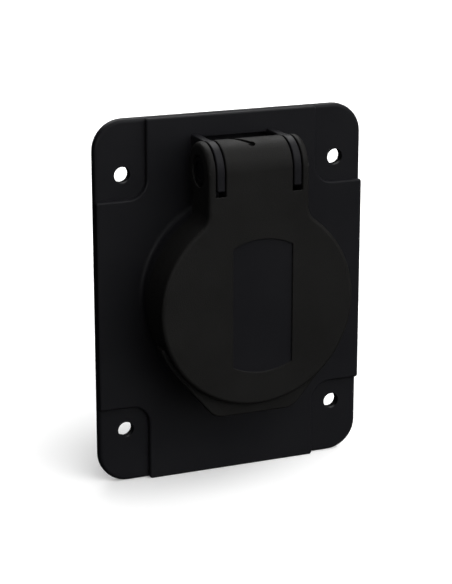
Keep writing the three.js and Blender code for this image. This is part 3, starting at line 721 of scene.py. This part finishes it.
def cut_ear_slots(shell):
    """Cuts the two slots that clear the ears, and rounds their edges."""
    tools = []
    for side in (-1, 1):
        low, high = sorted((side * SLOT_INNER, side * SLOT_OUTER))
        shell = cut(shell, hinge_rod(SLOT_RADIUS, low, high))
        tools += slot_edge_tools(low, high)
    return cut(shell, *tools)


def finger_tab():
    """The lip and tab behind the disc, open in the middle."""
    tab = prism(tab_outline(), TAB_FRONT, TAB_BACK, TAB_EDGE, TAB_EDGE)
    inner = circle((AXIS.x, AXIS.z), LID_RADIUS - MARGIN, CIRCLE_STEPS)
    return cut(tab, prism(inner, LID_FRONT, MARGIN))


def pin_head_pocket(face, inward):
    """A tool for the seat of the pin's head in a knuckle's end."""
    outline = circle((HINGE.y, HINGE.z), PIN_HEAD_RADIUS + FIT_GAP, PIN_STEPS)
    floor = face + inward * (PIN_HEAD_LENGTH + FIT_GAP)
    return opening(outline, face, floor, EDGE_LIP, EDGE_SHARP, "X")


def lid_shell():
    """The hollow cap with its neck, knuckles, finger tab, ear slots, window and groove."""
    cap = prism(lid_outline(0, HINGE.z + LID_EDGE), LID_FRONT, LID_BACK, LID_EDGE, EDGE_SOFT)
    hollow = lid_outline(LID_WALL, HINGE.z)
    cap = cut(cap, opening(hollow, LID_BACK, LID_FRONT + LID_FACE, EDGE_SOFT, LID_INNER_ROUND))
    knuckles = hinge_rod(HINGE_RADIUS, -NECK_HALF_WIDTH, NECK_HALF_WIDTH, KNUCKLE_EDGE)
    shell = join(cap, knuckles, finger_tab())
    spring_room = hinge_rod(KNUCKLE_BORE, -SLOT_INNER - MARGIN, SLOT_INNER + MARGIN)
    shell = cut_ear_slots(cut(shell, spring_room, rear_opening()))
    pin_reach = NECK_HALF_WIDTH + MARGIN
    return cut(
        shell,
        hinge_rod(PIN_BORE, -pin_reach, pin_reach, 0, HOLE_STEPS),
        pin_head_pocket(-NECK_HALF_WIDTH, 1),
        pin_head_pocket(NECK_HALF_WIDTH, -1),
        opening(window_outline(), LID_FRONT, LID_FRONT + WINDOW_DEPTH, WINDOW_EDGE, EDGE_SHARP),
        *groove_tools(),
    )


# Hinge pin and spring.
def hinge_pin():
    """A headed pin. Its head has a raised rim, and its far end is rounded."""
    head_back = PIN_LOW.x + PIN_HEAD_LENGTH
    profile = rounded_path([
        (0, PIN_LOW.x + PIN_RIM_DEPTH, 0),
        (PIN_RIM_INNER, PIN_LOW.x + PIN_RIM_DEPTH, EDGE_SHARP),
        (PIN_RIM_OUTER, PIN_LOW.x, EDGE_THIN),
        (PIN_HEAD_RADIUS, PIN_LOW.x, PIN_HEAD_EDGE),
        (PIN_HEAD_RADIUS, head_back, EDGE_SHARP),
        (PIN_RADIUS, head_back, 0),
        (PIN_RADIUS, PIN_HIGH.x, EDGE_MOULDED),
        (0, PIN_HIGH.x, 0),
    ], ROUND_STEPS)
    return turned(profile, (HINGE.y, HINGE.z), PIN_STEPS, "X")


def spring_coil():
    """The fixed leg, straight up out of the ledge, and the coil on the pin."""
    y = HINGE.y + COIL_RADIUS
    levels = (LEDGE_TOP - FIXED_LEG_DEPTH, LEDGE_TOP + MARGIN)
    path = [Vector((FIXED_LEG_X, y, level)) for level in levels]
    for k in range(3):
        path.append(Vector((FIXED_LEG_X - FIXED_LEG_LEAN * k, y, HINGE.z - 3 + k)))
    steps = round(COIL_TURNS * COIL_STEPS)
    for step in range(steps + 1):
        along = step / steps
        x = COIL_START_X + (COIL_END_X - COIL_START_X) * along
        path.append(about_hinge(x, COIL_RADIUS, 360 * COIL_TURNS * along))
    return wire(path, WIRE_RADIUS)


def spring_free_leg():
    """The leg that lies on the knuckle. It starts a little inside the coil's last turn."""
    last = 360 * COIL_TURNS
    start = [about_hinge(COIL_END_X, COIL_RADIUS, angle) for angle in (last - 6, last)]
    return wire(smooth_path(start + free_leg_path(LEG_SINK)), WIRE_RADIUS)


# Contacts, terminals and fasteners.
def middle(node):
    low, high = box_mm(node)
    return (low + high) / 2


def contact_blade(node):
    """A flat blade with rounded tip corners."""
    low, high = box_mm(node)
    outline = rounded_path([
        (low.y, low.z, BLADE_TIP_CORNER),
        (high.y, low.z, EDGE_MOULDED),
        (high.y, high.z, EDGE_MOULDED),
        (low.y, high.z, BLADE_TIP_CORNER),
    ])
    return prism(outline, low.x, high.x, BLADE_EDGE, BLADE_EDGE, "X")


def earth_pin():
    """A round pin with a rounded nose."""
    low, high = box_mm("earth_pin")
    radius = (high.x - low.x) / 2
    profile = rounded_path([
        (0, low.y, 0),
        (radius, low.y, EARTH_NOSE),
        (radius, high.y, EDGE_SOFT),
        (0, high.y, 0),
    ])
    at = middle("earth_pin")
    return turned(profile, (at.x, at.z), PIN_STEPS)


def contact_space(contact):
    """The outline round a contact, with room to fit it."""
    low, high = box_mm(contact)
    if contact == "earth_pin":
        at = middle(contact)
        return circle((at.x, at.z), (high.x - low.x) / 2 + FIT_GAP)
    return rectangle(low.x - FIT_GAP, high.x + FIT_GAP, low.z - FIT_GAP, high.z + FIT_GAP, EDGE_SOFT)


def carrier_profile():
    """Half of the carrier's section: a shallow groove near its face's rim, and the seal's groove."""
    radius = CARRIER_HIGH.x
    front = CARRIER_LOW.y
    back = CARRIER_HIGH.y
    inner = radius - FACE_GROOVE_INNER
    outer = radius - FACE_GROOVE_OUTER
    floor = front + FACE_GROOVE_DEPTH
    groove_front = SEAL_LOW.y - FIT_GAP
    groove_back = SEAL_HIGH.y + FIT_GAP
    return rounded_path([
        (0, front, 0),
        (inner, front, EDGE_SMALL),
        (inner + FACE_GROOVE_SLOPE, floor, EDGE_FINE),
        (outer - FACE_GROOVE_SLOPE, floor, EDGE_FINE),
        (outer, front, EDGE_SMALL),
        (radius, front, EDGE_MOULDED),
        (radius, groove_front, EDGE_FINE),
        (SEAL_GROOVE_RADIUS, groove_front, EDGE_FINE),
        (SEAL_GROOVE_RADIUS, groove_back, EDGE_FINE),
        (radius, groove_back, EDGE_FINE),
        (radius, back, EDGE_MOULDED),
        (0, back, 0),
    ], ROUND_STEPS)


def contact_carrier():
    """A thick disc with a seal groove, a stepped face and sunk screw seats."""
    front = CARRIER_LOW.y
    back = CARRIER_HIGH.y
    seat = front + SCREW_HEAD_LENGTH + SCREW_SEAT_SPARE
    head_low, head_high = box_mm("carrier_screw_left")
    head_radius = (head_high.x - head_low.x) / 2 + FIT_GAP
    tools = [
        through(contact_space(contact), front, back, EDGE_SOFT)
        for contact in ("line_blade", "neutral_blade", "earth_pin")
    ]
    for at in lug_places()[:2]:
        tools.append(through(circle(at, SCREW_HOLE_RADIUS), front, back, EDGE_SMALL))
        tools.append(opening(circle(at, head_radius), front, seat, EDGE_SOFT))
    return cut(turned(carrier_profile(), (AXIS.x, AXIS.z)), *tools)


def wire_entry(name, low, high):
    """A tool for a terminal's wire hole. The earth wire enters from below, and the others from outside."""
    at = (low + high) / 2
    level = high.y - WIRE_HOLE_LEVEL
    if name == "earth":
        return opening(circle((at.x, level), WIRE_HOLE_RADIUS), low.z, at.z, EDGE_SMALL, 0, "Z")
    outside = high.x if at.x > 0 else low.x
    return opening(circle((level, at.z), WIRE_HOLE_RADIUS), outside, at.x, EDGE_SMALL, 0, "X")


def terminal(name):
    """A brass block with a socket for its contact, a clamp screw's hole and a wire entry."""
    low, high = box_mm(f"{name}_terminal")
    at = (low + high) / 2
    outline = rectangle(low.x, high.x, low.z, high.z, TERMINAL_EDGE)
    body = prism(outline, low.y, high.y, TERMINAL_EDGE, TERMINAL_EDGE)
    contact = "earth_pin" if name == "earth" else f"{name}_blade"
    socket_end = box_mm(contact)[1].y + FIT_GAP
    screw_end = box_mm(f"{name}_terminal_screw")[0].y - SCREW_SEAT_SPARE
    return cut(
        body,
        opening(contact_space(contact), low.y, socket_end, EDGE_SMALL),
        opening(circle((at.x, at.z), SCREW_HOLE_RADIUS), high.y, screw_end, EDGE_SMALL),
        wire_entry(name, low, high),
    )


def slotted_screw(node, head_in_front):
    """A pan-head screw with a straight slot and a rolled thread."""
    low, high = box_mm(node)
    at = (low + high) / 2
    radius = (high.x - low.x) / 2
    head, tip = (low.y, high.y) if head_in_front else (high.y, low.y)
    inward = math.copysign(1, tip - head)
    seat = head + inward * SCREW_HEAD_LENGTH
    root = SCREW_SHANK_RADIUS - THREAD_DEPTH
    corners = [
        (0, head, 0),
        (radius, head, SCREW_HEAD_ROUND),
        (radius, seat, EDGE_FINE),
        (SCREW_SHANK_RADIUS, seat, 0),
    ]
    turns = int(abs(tip - seat) / THREAD_PITCH) - 1
    for k in range(turns):
        level = seat + inward * THREAD_PITCH * (k + 0.5)
        corners.append((root, level, 0))
        corners.append((SCREW_SHANK_RADIUS, level + inward * THREAD_PITCH / 2, 0))
    corners += [(root, tip, 0), (0, tip, 0)]
    body = turned(rounded_path(corners, ROUND_STEPS), (at.x, at.z), SCREW_STEPS)
    half = SCREW_SLOT_WIDTH / 2
    reach = radius + MARGIN
    slot = rectangle(at.x - reach, at.x + reach, at.z - half, at.z + half)
    return cut(body, opening(slot, head, head + inward * SCREW_SLOT_DEPTH, SCREW_SLOT_LIP))


# Rear cover, grommet and seals.
def rear_cover():
    """A cup over the terminals, with two screw towers and a hole for the grommet."""
    centre = (AXIS.x, AXIS.z)
    inside = COVER_HIGH.y - COVER_WALL
    profile = rounded_path([
        (0, inside, 0),
        (BARREL_RADIUS - COVER_WALL, inside, COVER_INNER_ROUND),
        (BARREL_RADIUS - COVER_WALL, COVER_LOW.y, EDGE_MOULDED),
        (BARREL_RADIUS, COVER_LOW.y, EDGE_ROUND),
        (BARREL_RADIUS, COVER_HIGH.y, COVER_OUTER_ROUND),
        (0, COVER_HIGH.y, 0),
    ])
    places = lug_places()[2:]
    weld = COVER_HIGH.y - COVER_WALL / 2
    towers = [prism(circle(at, LUG_RADIUS), COVER_LOW.y, weld, EDGE_SOFT) for at in places]
    cover = join(turned(profile, centre), *towers)
    holes = [
        through(circle(at, SCREW_HOLE_RADIUS), COVER_LOW.y, COVER_HIGH.y, EDGE_LIP) for at in places
    ]
    entry = through(circle(centre, ENTRY_RADIUS, PIN_STEPS), inside, COVER_HIGH.y, EDGE_SOFT)
    return cut(cover, *holes, entry)


def cable_grommet():
    """A rubber ring with two lips that grip the cover's wall."""
    lip = GROMMET_HIGH.x
    waist = ENTRY_RADIUS - FIT_GAP
    wall_front = COVER_HIGH.y - COVER_WALL - FIT_GAP
    wall_back = COVER_HIGH.y + FIT_GAP
    profile = rounded_path([
        (GROMMET_BORE, GROMMET_LOW.y, EDGE_MOULDED),
        (lip, GROMMET_LOW.y, EDGE_ROUND),
        (lip, wall_front, EDGE_SOFT),
        (waist, wall_front, EDGE_SMALL),
        (waist, wall_back, EDGE_SMALL),
        (lip, wall_back, EDGE_SOFT),
        (lip - GROMMET_TAPER, GROMMET_HIGH.y, EDGE_FULL),
        (GROMMET_BORE, GROMMET_HIGH.y, EDGE_MOULDED),
    ], ROUND_STEPS)
    return turned(profile, (AXIS.x, AXIS.z), GROMMET_STEPS)


def ring(low, high, width, edge):
    """A round seal that fills a CAD ring's box."""
    outer = high.x
    profile = rounded_path([
        (outer - width, low.y, edge),
        (outer, low.y, edge),
        (outer, high.y, edge),
        (outer - width, high.y, edge),
    ], ROUND_STEPS)
    return turned(profile, (AXIS.x, AXIS.z))


def flange_gasket():
    """A flat sheet with four fixing holes and a hole for the barrel."""
    corner = FLANGE_CORNER - RIM_WIDTH - FIT_GAP
    outline = rectangle(GASKET_LOW.x, GASKET_HIGH.x, GASKET_LOW.z, GASKET_HIGH.z, corner)
    front = GASKET_LOW.y
    back = GASKET_HIGH.y
    holes = [through(circle(at, FIXING_RADIUS), front, back) for at in fixing_places()]
    barrel = circle((AXIS.x, AXIS.z), GASKET_HOLE_RADIUS, CIRCLE_STEPS)
    return cut(prism(outline, front, back, EDGE_SHARP, EDGE_SHARP), *holes, through(barrel, front, back))


# Materials. Sizes are in millimetres, and colours are linear.
SLOW_TONE = 14.0
GLOSS_PATCH = 3.0
METAL_TONE = 2.0
METAL_STREAK = 0.12
STREAK_DEPTH = 0.004
RUBBER_TONE = 4.0
RUBBER_SPECULAR = 0.2
RUBBER_ROUGHNESS = (0.75, 0.9)
NOISE_LOW = 0.3
NOISE_HIGH = 0.7
ALONG_X = (0.06, 1, 1)
ALONG_Y = (1, 0.06, 1)
DULL_METAL = 0.75


def new_material(name):
    """A material with its nodes, links and shader, and the object's own coordinates for its noise."""
    material = bpy.data.materials.new(name)
    material.use_nodes = True
    nodes = material.node_tree.nodes
    shader = nodes["Principled BSDF"]
    place_node = nodes.new("ShaderNodeTexCoord")
    return material, nodes, material.node_tree.links, shader, place_node.outputs["Object"]


def add_noise(nodes, links, where, size, detail=3.0, stretch=(1, 1, 1)):
    """Noise with features of about size millimetres, stretched along an axis by small numbers."""
    mapping = nodes.new("ShaderNodeMapping")
    mapping.inputs["Scale"].default_value = [s / (size * MM) for s in stretch]
    noise = nodes.new("ShaderNodeTexNoise")
    noise.inputs["Scale"].default_value = 1.0
    noise.inputs["Detail"].default_value = detail
    links.new(where, mapping.inputs["Vector"])
    links.new(mapping.outputs["Vector"], noise.inputs["Vector"])
    return noise.outputs["Fac"]


def vary_colour(nodes, links, fac, socket, dark, light):
    """Lets noise move a colour between a dark and a light tone."""
    ramp = nodes.new("ShaderNodeValToRGB")
    stops = ramp.color_ramp.elements
    for stop, position, colour in zip(stops, (NOISE_LOW, NOISE_HIGH), (dark, light)):
        stop.position = position
        stop.color = (*colour, 1)
    links.new(fac, ramp.inputs["Fac"])
    links.new(ramp.outputs["Color"], socket)


def vary_value(nodes, links, fac, socket, low, high):
    """Lets noise move a number between a low and a high value."""
    scale = nodes.new("ShaderNodeMapRange")
    scale.inputs["From Min"].default_value = NOISE_LOW
    scale.inputs["From Max"].default_value = NOISE_HIGH
    scale.inputs["To Min"].default_value = low
    scale.inputs["To Max"].default_value = high
    links.new(fac, scale.inputs["Value"])
    links.new(scale.outputs["Result"], socket)


def add_bump(nodes, links, fac, shader, depth):
    bump = nodes.new("ShaderNodeBump")
    bump.inputs["Strength"].default_value = 1.0
    bump.inputs["Distance"].default_value = depth * MM
    links.new(fac, bump.inputs["Height"])
    links.new(bump.outputs["Normal"], shader.inputs["Normal"])


def plastic(name, dark, light, rough, grain, depth, specular):
    """Moulded plastic: slow colour and gloss changes, and a grain of a given size and depth."""
    material, nodes, links, shader, where = new_material(name)
    shader.inputs["Specular IOR Level"].default_value = specular
    slow = add_noise(nodes, links, where, SLOW_TONE)
    vary_colour(nodes, links, slow, shader.inputs["Base Color"], dark, light)
    patches = add_noise(nodes, links, where, GLOSS_PATCH)
    vary_value(nodes, links, patches, shader.inputs["Roughness"], *rough)
    fine = add_noise(nodes, links, where, grain, detail=2.0)
    add_bump(nodes, links, fine, shader, depth)
    return material


def metal(name, dark, light, rough, stretch, metallic):
    """Machined or plated metal: fine drawn streaks along one axis."""
    material, nodes, links, shader, where = new_material(name)
    shader.inputs["Metallic"].default_value = metallic
    tone = add_noise(nodes, links, where, METAL_TONE)
    vary_colour(nodes, links, tone, shader.inputs["Base Color"], dark, light)
    streaks = add_noise(nodes, links, where, METAL_STREAK, detail=2.0, stretch=stretch)
    vary_value(nodes, links, streaks, shader.inputs["Roughness"], *rough)
    add_bump(nodes, links, streaks, shader, STREAK_DEPTH)
    return material


def rubber(name, dark, light, grain, depth):
    """Dull rubber with a coarse, uneven grain."""
    material, nodes, links, shader, where = new_material(name)
    shader.inputs["Specular IOR Level"].default_value = RUBBER_SPECULAR
    tone = add_noise(nodes, links, where, RUBBER_TONE)
    vary_colour(nodes, links, tone, shader.inputs["Base Color"], dark, light)
    vary_value(nodes, links, tone, shader.inputs["Roughness"], *RUBBER_ROUGHNESS)
    fine = add_noise(nodes, links, where, grain, detail=4.0)
    add_bump(nodes, links, fine, shader, depth)
    return material


# Each look is a dark and a light colour, then the other values that its function takes.
PLASTICS = {
    "housing_plastic": ((0.0070, 0.0070, 0.0084), (0.0086, 0.0086, 0.0100), (0.38, 0.46), 0.5, 0.003, 0.5),
    "lid_plastic": ((0.0072, 0.0070, 0.0067), (0.0090, 0.0088, 0.0084), (0.44, 0.54), 0.24, 0.06, 0.4),
    "lid_window": ((0.0070, 0.0070, 0.0084), (0.0086, 0.0086, 0.0100), (0.3, 0.36), 0.5, 0.002, 0.5),
    "carrier_plastic": ((0.020, 0.020, 0.023), (0.026, 0.026, 0.029), (0.5, 0.6), 0.3, 0.006, 0.35),
}
METALS = {
    "contact_metal": ((0.56, 0.53, 0.46), (0.66, 0.63, 0.55), (0.26, 0.38), ALONG_Y, DULL_METAL),
    "terminal_brass": ((0.50, 0.34, 0.12), (0.60, 0.42, 0.16), (0.30, 0.42), ALONG_Y, DULL_METAL),
    "screw_steel": ((0.46, 0.47, 0.48), (0.58, 0.59, 0.60), (0.28, 0.40), ALONG_Y, DULL_METAL),
    "pin_steel": ((0.05, 0.05, 0.055), (0.08, 0.08, 0.085), (0.3, 0.42), ALONG_X, 1.0),
    "spring_steel": ((0.018, 0.018, 0.02), (0.03, 0.03, 0.032), (0.35, 0.45), ALONG_X, 1.0),
}
RUBBERS = {
    "seal_rubber": ((0.010, 0.010, 0.010), (0.016, 0.016, 0.016), 0.25, 0.02),
}
MATERIALS = {name: plastic(name, *look) for name, look in PLASTICS.items()}
MATERIALS.update({name: metal(name, *look) for name, look in METALS.items()})
MATERIALS.update({name: rubber(name, *look) for name, look in RUBBERS.items()})


# Pieces.
def shade(mesh):
    """Smooth shading, with creases kept where faces meet at a steep angle."""
    mesh.shade_smooth()
    mesh.set_sharp_from_angle(angle=SHARP_ANGLE)


def finish_piece(solid, name, node, slot, body=None):
    """Scales a solid to metres, gives it its material, and lets it stand for its CAD node."""
    solid.name = name
    solid.data.name = name
    solid.data.transform(Matrix.Scale(MM, 4))
    solid.data.materials.clear()
    solid.data.materials.append(MATERIALS[slot])
    shade(solid.data)
    weighted = solid.modifiers.new("normals", "WEIGHTED_NORMAL")
    weighted.keep_sharp = True
    if body:
        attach(solid, body)
    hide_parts(node)
    return solid


def paint_window(piece):
    """Gives the window's floor the smoother finish."""
    piece.data.materials.append(MATERIALS["lid_window"])
    centre = Vector((WINDOW_X, LID_FRONT + WINDOW_DEPTH, AXIS.z))
    for face in piece.data.polygons:
        away = face.center / MM - centre
        if abs(away.y) < FLAT_WITHIN and away.xz.length < WINDOW_RADIUS:
            face.material_index = 1


def build_held_pieces():
    """Everything that stays on the panel, and the spring's coil, which winds between the two bodies."""
    held = "inlet_body"
    finish_piece(flange_housing(), "housing_shell", "flange_housing", "housing_plastic", held)
    finish_piece(flange_gasket(), "panel_gasket", "flange_gasket", "seal_rubber", held)
    finish_piece(contact_carrier(), "contact_insert", "contact_carrier", "carrier_plastic", held)
    seal = ring(SEAL_LOW, SEAL_HIGH, CARRIER_SEAL_WIDTH, CARRIER_SEAL_EDGE)
    finish_piece(seal, "insert_seal", "carrier_seal", "seal_rubber", held)
    for name in ("line", "neutral"):
        node = f"{name}_blade"
        finish_piece(contact_blade(node), f"{name}_contact_blade", node, "contact_metal", held)
    finish_piece(earth_pin(), "earth_contact_pin", "earth_pin", "contact_metal", held)
    for name in ("line", "neutral", "earth"):
        finish_piece(terminal(name), f"{name}_clamp", f"{name}_terminal", "terminal_brass", held)
        screw = f"{name}_terminal_screw"
        finish_piece(slotted_screw(screw, False), f"{name}_clamp_screw", screw, "screw_steel", held)
    for side in ("left", "right"):
        screw = f"carrier_screw_{side}"
        finish_piece(slotted_screw(screw, True), f"insert_screw_{side}", screw, "screw_steel", held)
    finish_piece(rear_cover(), "rear_cap", "rear_cover", "housing_plastic", held)
    for side in ("lower", "upper"):
        screw = f"cover_screw_{side}"
        finish_piece(slotted_screw(screw, False), f"rear_screw_{side}", screw, "screw_steel", held)
    finish_piece(cable_grommet(), "entry_grommet", "cable_grommet", "seal_rubber", held)
    coil = finish_piece(spring_coil(), "spring_coil", "torsion_spring", "spring_steel")
    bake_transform(coil)


def build_moving_pieces():
    """The lid and what turns with it."""
    moving = "lid_body"
    finish_piece(spring_free_leg(), "spring_free_leg", "torsion_spring", "spring_steel", moving)
    paint_window(finish_piece(lid_shell(), "lid_shell", "lid", "lid_plastic", moving))
    seal = ring(LID_GASKET_LOW, LID_GASKET_HIGH, LID_SEAL_WIDTH, EDGE_MOULDED)
    finish_piece(seal, "lid_seal", "lid_gasket", "seal_rubber", moving)
    finish_piece(hinge_pin(), "lid_pin", "hinge_pin", "pin_steel", moving)


# Camera, floor and lights.
CAMERA_AZIMUTH = math.radians(22.07)
CAMERA_ELEVATION = math.radians(14.91)
CAMERA_DISTANCE = 410.37
CAMERA_LENS = 109.0
CAMERA_RISE = 11.66
CAMERA_LEFT = 0.3
CAMERA_SHIFT = -0.0892
STUDIO_SIZE = 4.0
STUDIO_HEIGHT = 4.0
STUDIO_SIDES = ((-1, -1), (1, -1), (1, 1), (-1, 1))
STUDIO_ROUGHNESS = 0.9
STUDIO_SPECULAR = 0.1
FLOOR_TONE = 0.9
FLOOR_GLOW = 0.15
WALL_TONE = 0.0
WALL_GLOW = 1.0
SKY_DIRECTION = (0.5, -0.6, 0.62)
SKY_DARK_FROM = 0.3
SKY_BRIGHT_FROM = 0.92
SKY_DARK = 0.03
SKY_BRIGHT = 2.6
# Softboxes: a name, a direction, the distance and side in metres, the power in watts, and whether it
# shows in reflections.
SOFTBOXES = (
    ("key", (0.36, -0.43, 0.83), 0.75, 0.7, 0.42, True),
    ("front_left", (-0.8, -0.75, 0.25), 0.8, 0.35, 0.25, True),
    ("back", (0.15, 0.6, 0.85), 0.9, 0.8, 2.5, True),
    ("rear_fill", (0.55, 0.9, 0.4), 0.9, 0.8, 5.0, False),
)


def make_camera():
    """A long lens in front of the object, to its left and a little above."""
    sin_a, cos_a = math.sin(CAMERA_AZIMUTH), math.cos(CAMERA_AZIMUTH)
    sin_e, cos_e = math.sin(CAMERA_ELEVATION), math.cos(CAMERA_ELEVATION)
    back = Vector((-sin_a * cos_e, -cos_a * cos_e, sin_e))
    up = Vector((sin_a * sin_e, cos_a * sin_e, cos_e))
    right = Vector((cos_a, -sin_a, 0))
    data = bpy.data.cameras.new("camera")
    data.lens = CAMERA_LENS
    data.shift_y = CAMERA_SHIFT
    data.clip_start = 0.01
    camera = bpy.data.objects.new("camera", data)
    camera.location = (back * CAMERA_DISTANCE + up * CAMERA_RISE - right * CAMERA_LEFT) * MM
    camera.rotation_euler = (math.pi / 2 - CAMERA_ELEVATION, 0, -CAMERA_AZIMUTH)
    bpy.context.scene.collection.objects.link(camera)
    bpy.context.scene.camera = camera


def add_stage_piece(name, corners, faces, tone, glow):
    """A plain pale surface that the object's own surfaces don't see, so it casts no light back on them."""
    mesh = bpy.data.meshes.new(name)
    mesh.from_pydata(corners, [], faces)
    material = bpy.data.materials.new(name)
    material.use_nodes = True
    shader = material.node_tree.nodes["Principled BSDF"]
    shader.inputs["Base Color"].default_value = (tone, tone, tone, 1)
    shader.inputs["Roughness"].default_value = STUDIO_ROUGHNESS
    shader.inputs["Specular IOR Level"].default_value = STUDIO_SPECULAR
    shader.inputs["Emission Color"].default_value = (1, 1, 1, 1)
    shader.inputs["Emission Strength"].default_value = glow
    mesh.materials.append(material)
    piece = bpy.data.objects.new(name, mesh)
    bpy.context.scene.collection.objects.link(piece)
    piece.visible_glossy = False
    piece.visible_diffuse = False
    return piece


def make_studio():
    """A floor under the object, and four far walls round it that cast no shadow."""
    corners = []
    for level in (cad_low.z, cad_low.z + STUDIO_HEIGHT):
        corners += [(x * STUDIO_SIZE, y * STUDIO_SIZE, level) for x, y in STUDIO_SIDES]
    add_stage_piece("floor", corners[:4], [(0, 1, 2, 3)], FLOOR_TONE, FLOOR_GLOW)
    faces = [(k, (k + 1) % 4, (k + 1) % 4 + 4, k + 4) for k in range(4)]
    walls = add_stage_piece("walls", corners, faces, WALL_TONE, WALL_GLOW)
    walls.visible_shadow = False


def add_softbox(name, direction, distance, size, power, in_reflections):
    """A square area light that faces the object."""
    data = bpy.data.lights.new(name, "AREA")
    data.size = size
    data.energy = power
    light = bpy.data.objects.new(name, data)
    light.location = Vector(direction).normalized() * distance
    light.rotation_euler = (-Vector(direction)).to_track_quat("-Z", "Y").to_euler()
    light.visible_glossy = in_reflections
    bpy.context.scene.collection.objects.link(light)


def make_sky():
    """A sky that fades from bright, above and in front on the right, to dark on the left and below."""
    world = bpy.data.worlds.new("studio")
    world.use_nodes = True
    nodes = world.node_tree.nodes
    links = world.node_tree.links
    direction = nodes.new("ShaderNodeTexCoord").outputs["Generated"]
    facing = nodes.new("ShaderNodeVectorMath")
    facing.operation = "DOT_PRODUCT"
    facing.inputs[1].default_value = Vector(SKY_DIRECTION).normalized()
    fade = nodes.new("ShaderNodeMapRange")
    fade.interpolation_type = "SMOOTHSTEP"
    fade.inputs["From Min"].default_value = SKY_DARK_FROM
    fade.inputs["From Max"].default_value = SKY_BRIGHT_FROM
    fade.inputs["To Min"].default_value = SKY_DARK
    fade.inputs["To Max"].default_value = SKY_BRIGHT
    links.new(direction, facing.inputs[0])
    links.new(facing.outputs["Value"], fade.inputs["Value"])
    links.new(fade.outputs["Result"], nodes["Background"].inputs["Strength"])
    nodes["Background"].inputs["Color"].default_value = (1, 1, 1, 1)
    bpy.context.scene.world = world
    world.cycles_visibility.glossy = False


def make_light():
    make_sky()
    for softbox in SOFTBOXES:
        add_softbox(*softbox)
    bpy.context.scene.view_settings.view_transform = "Standard"


build_held_pieces()
build_moving_pieces()
make_camera()
make_studio()
make_light()
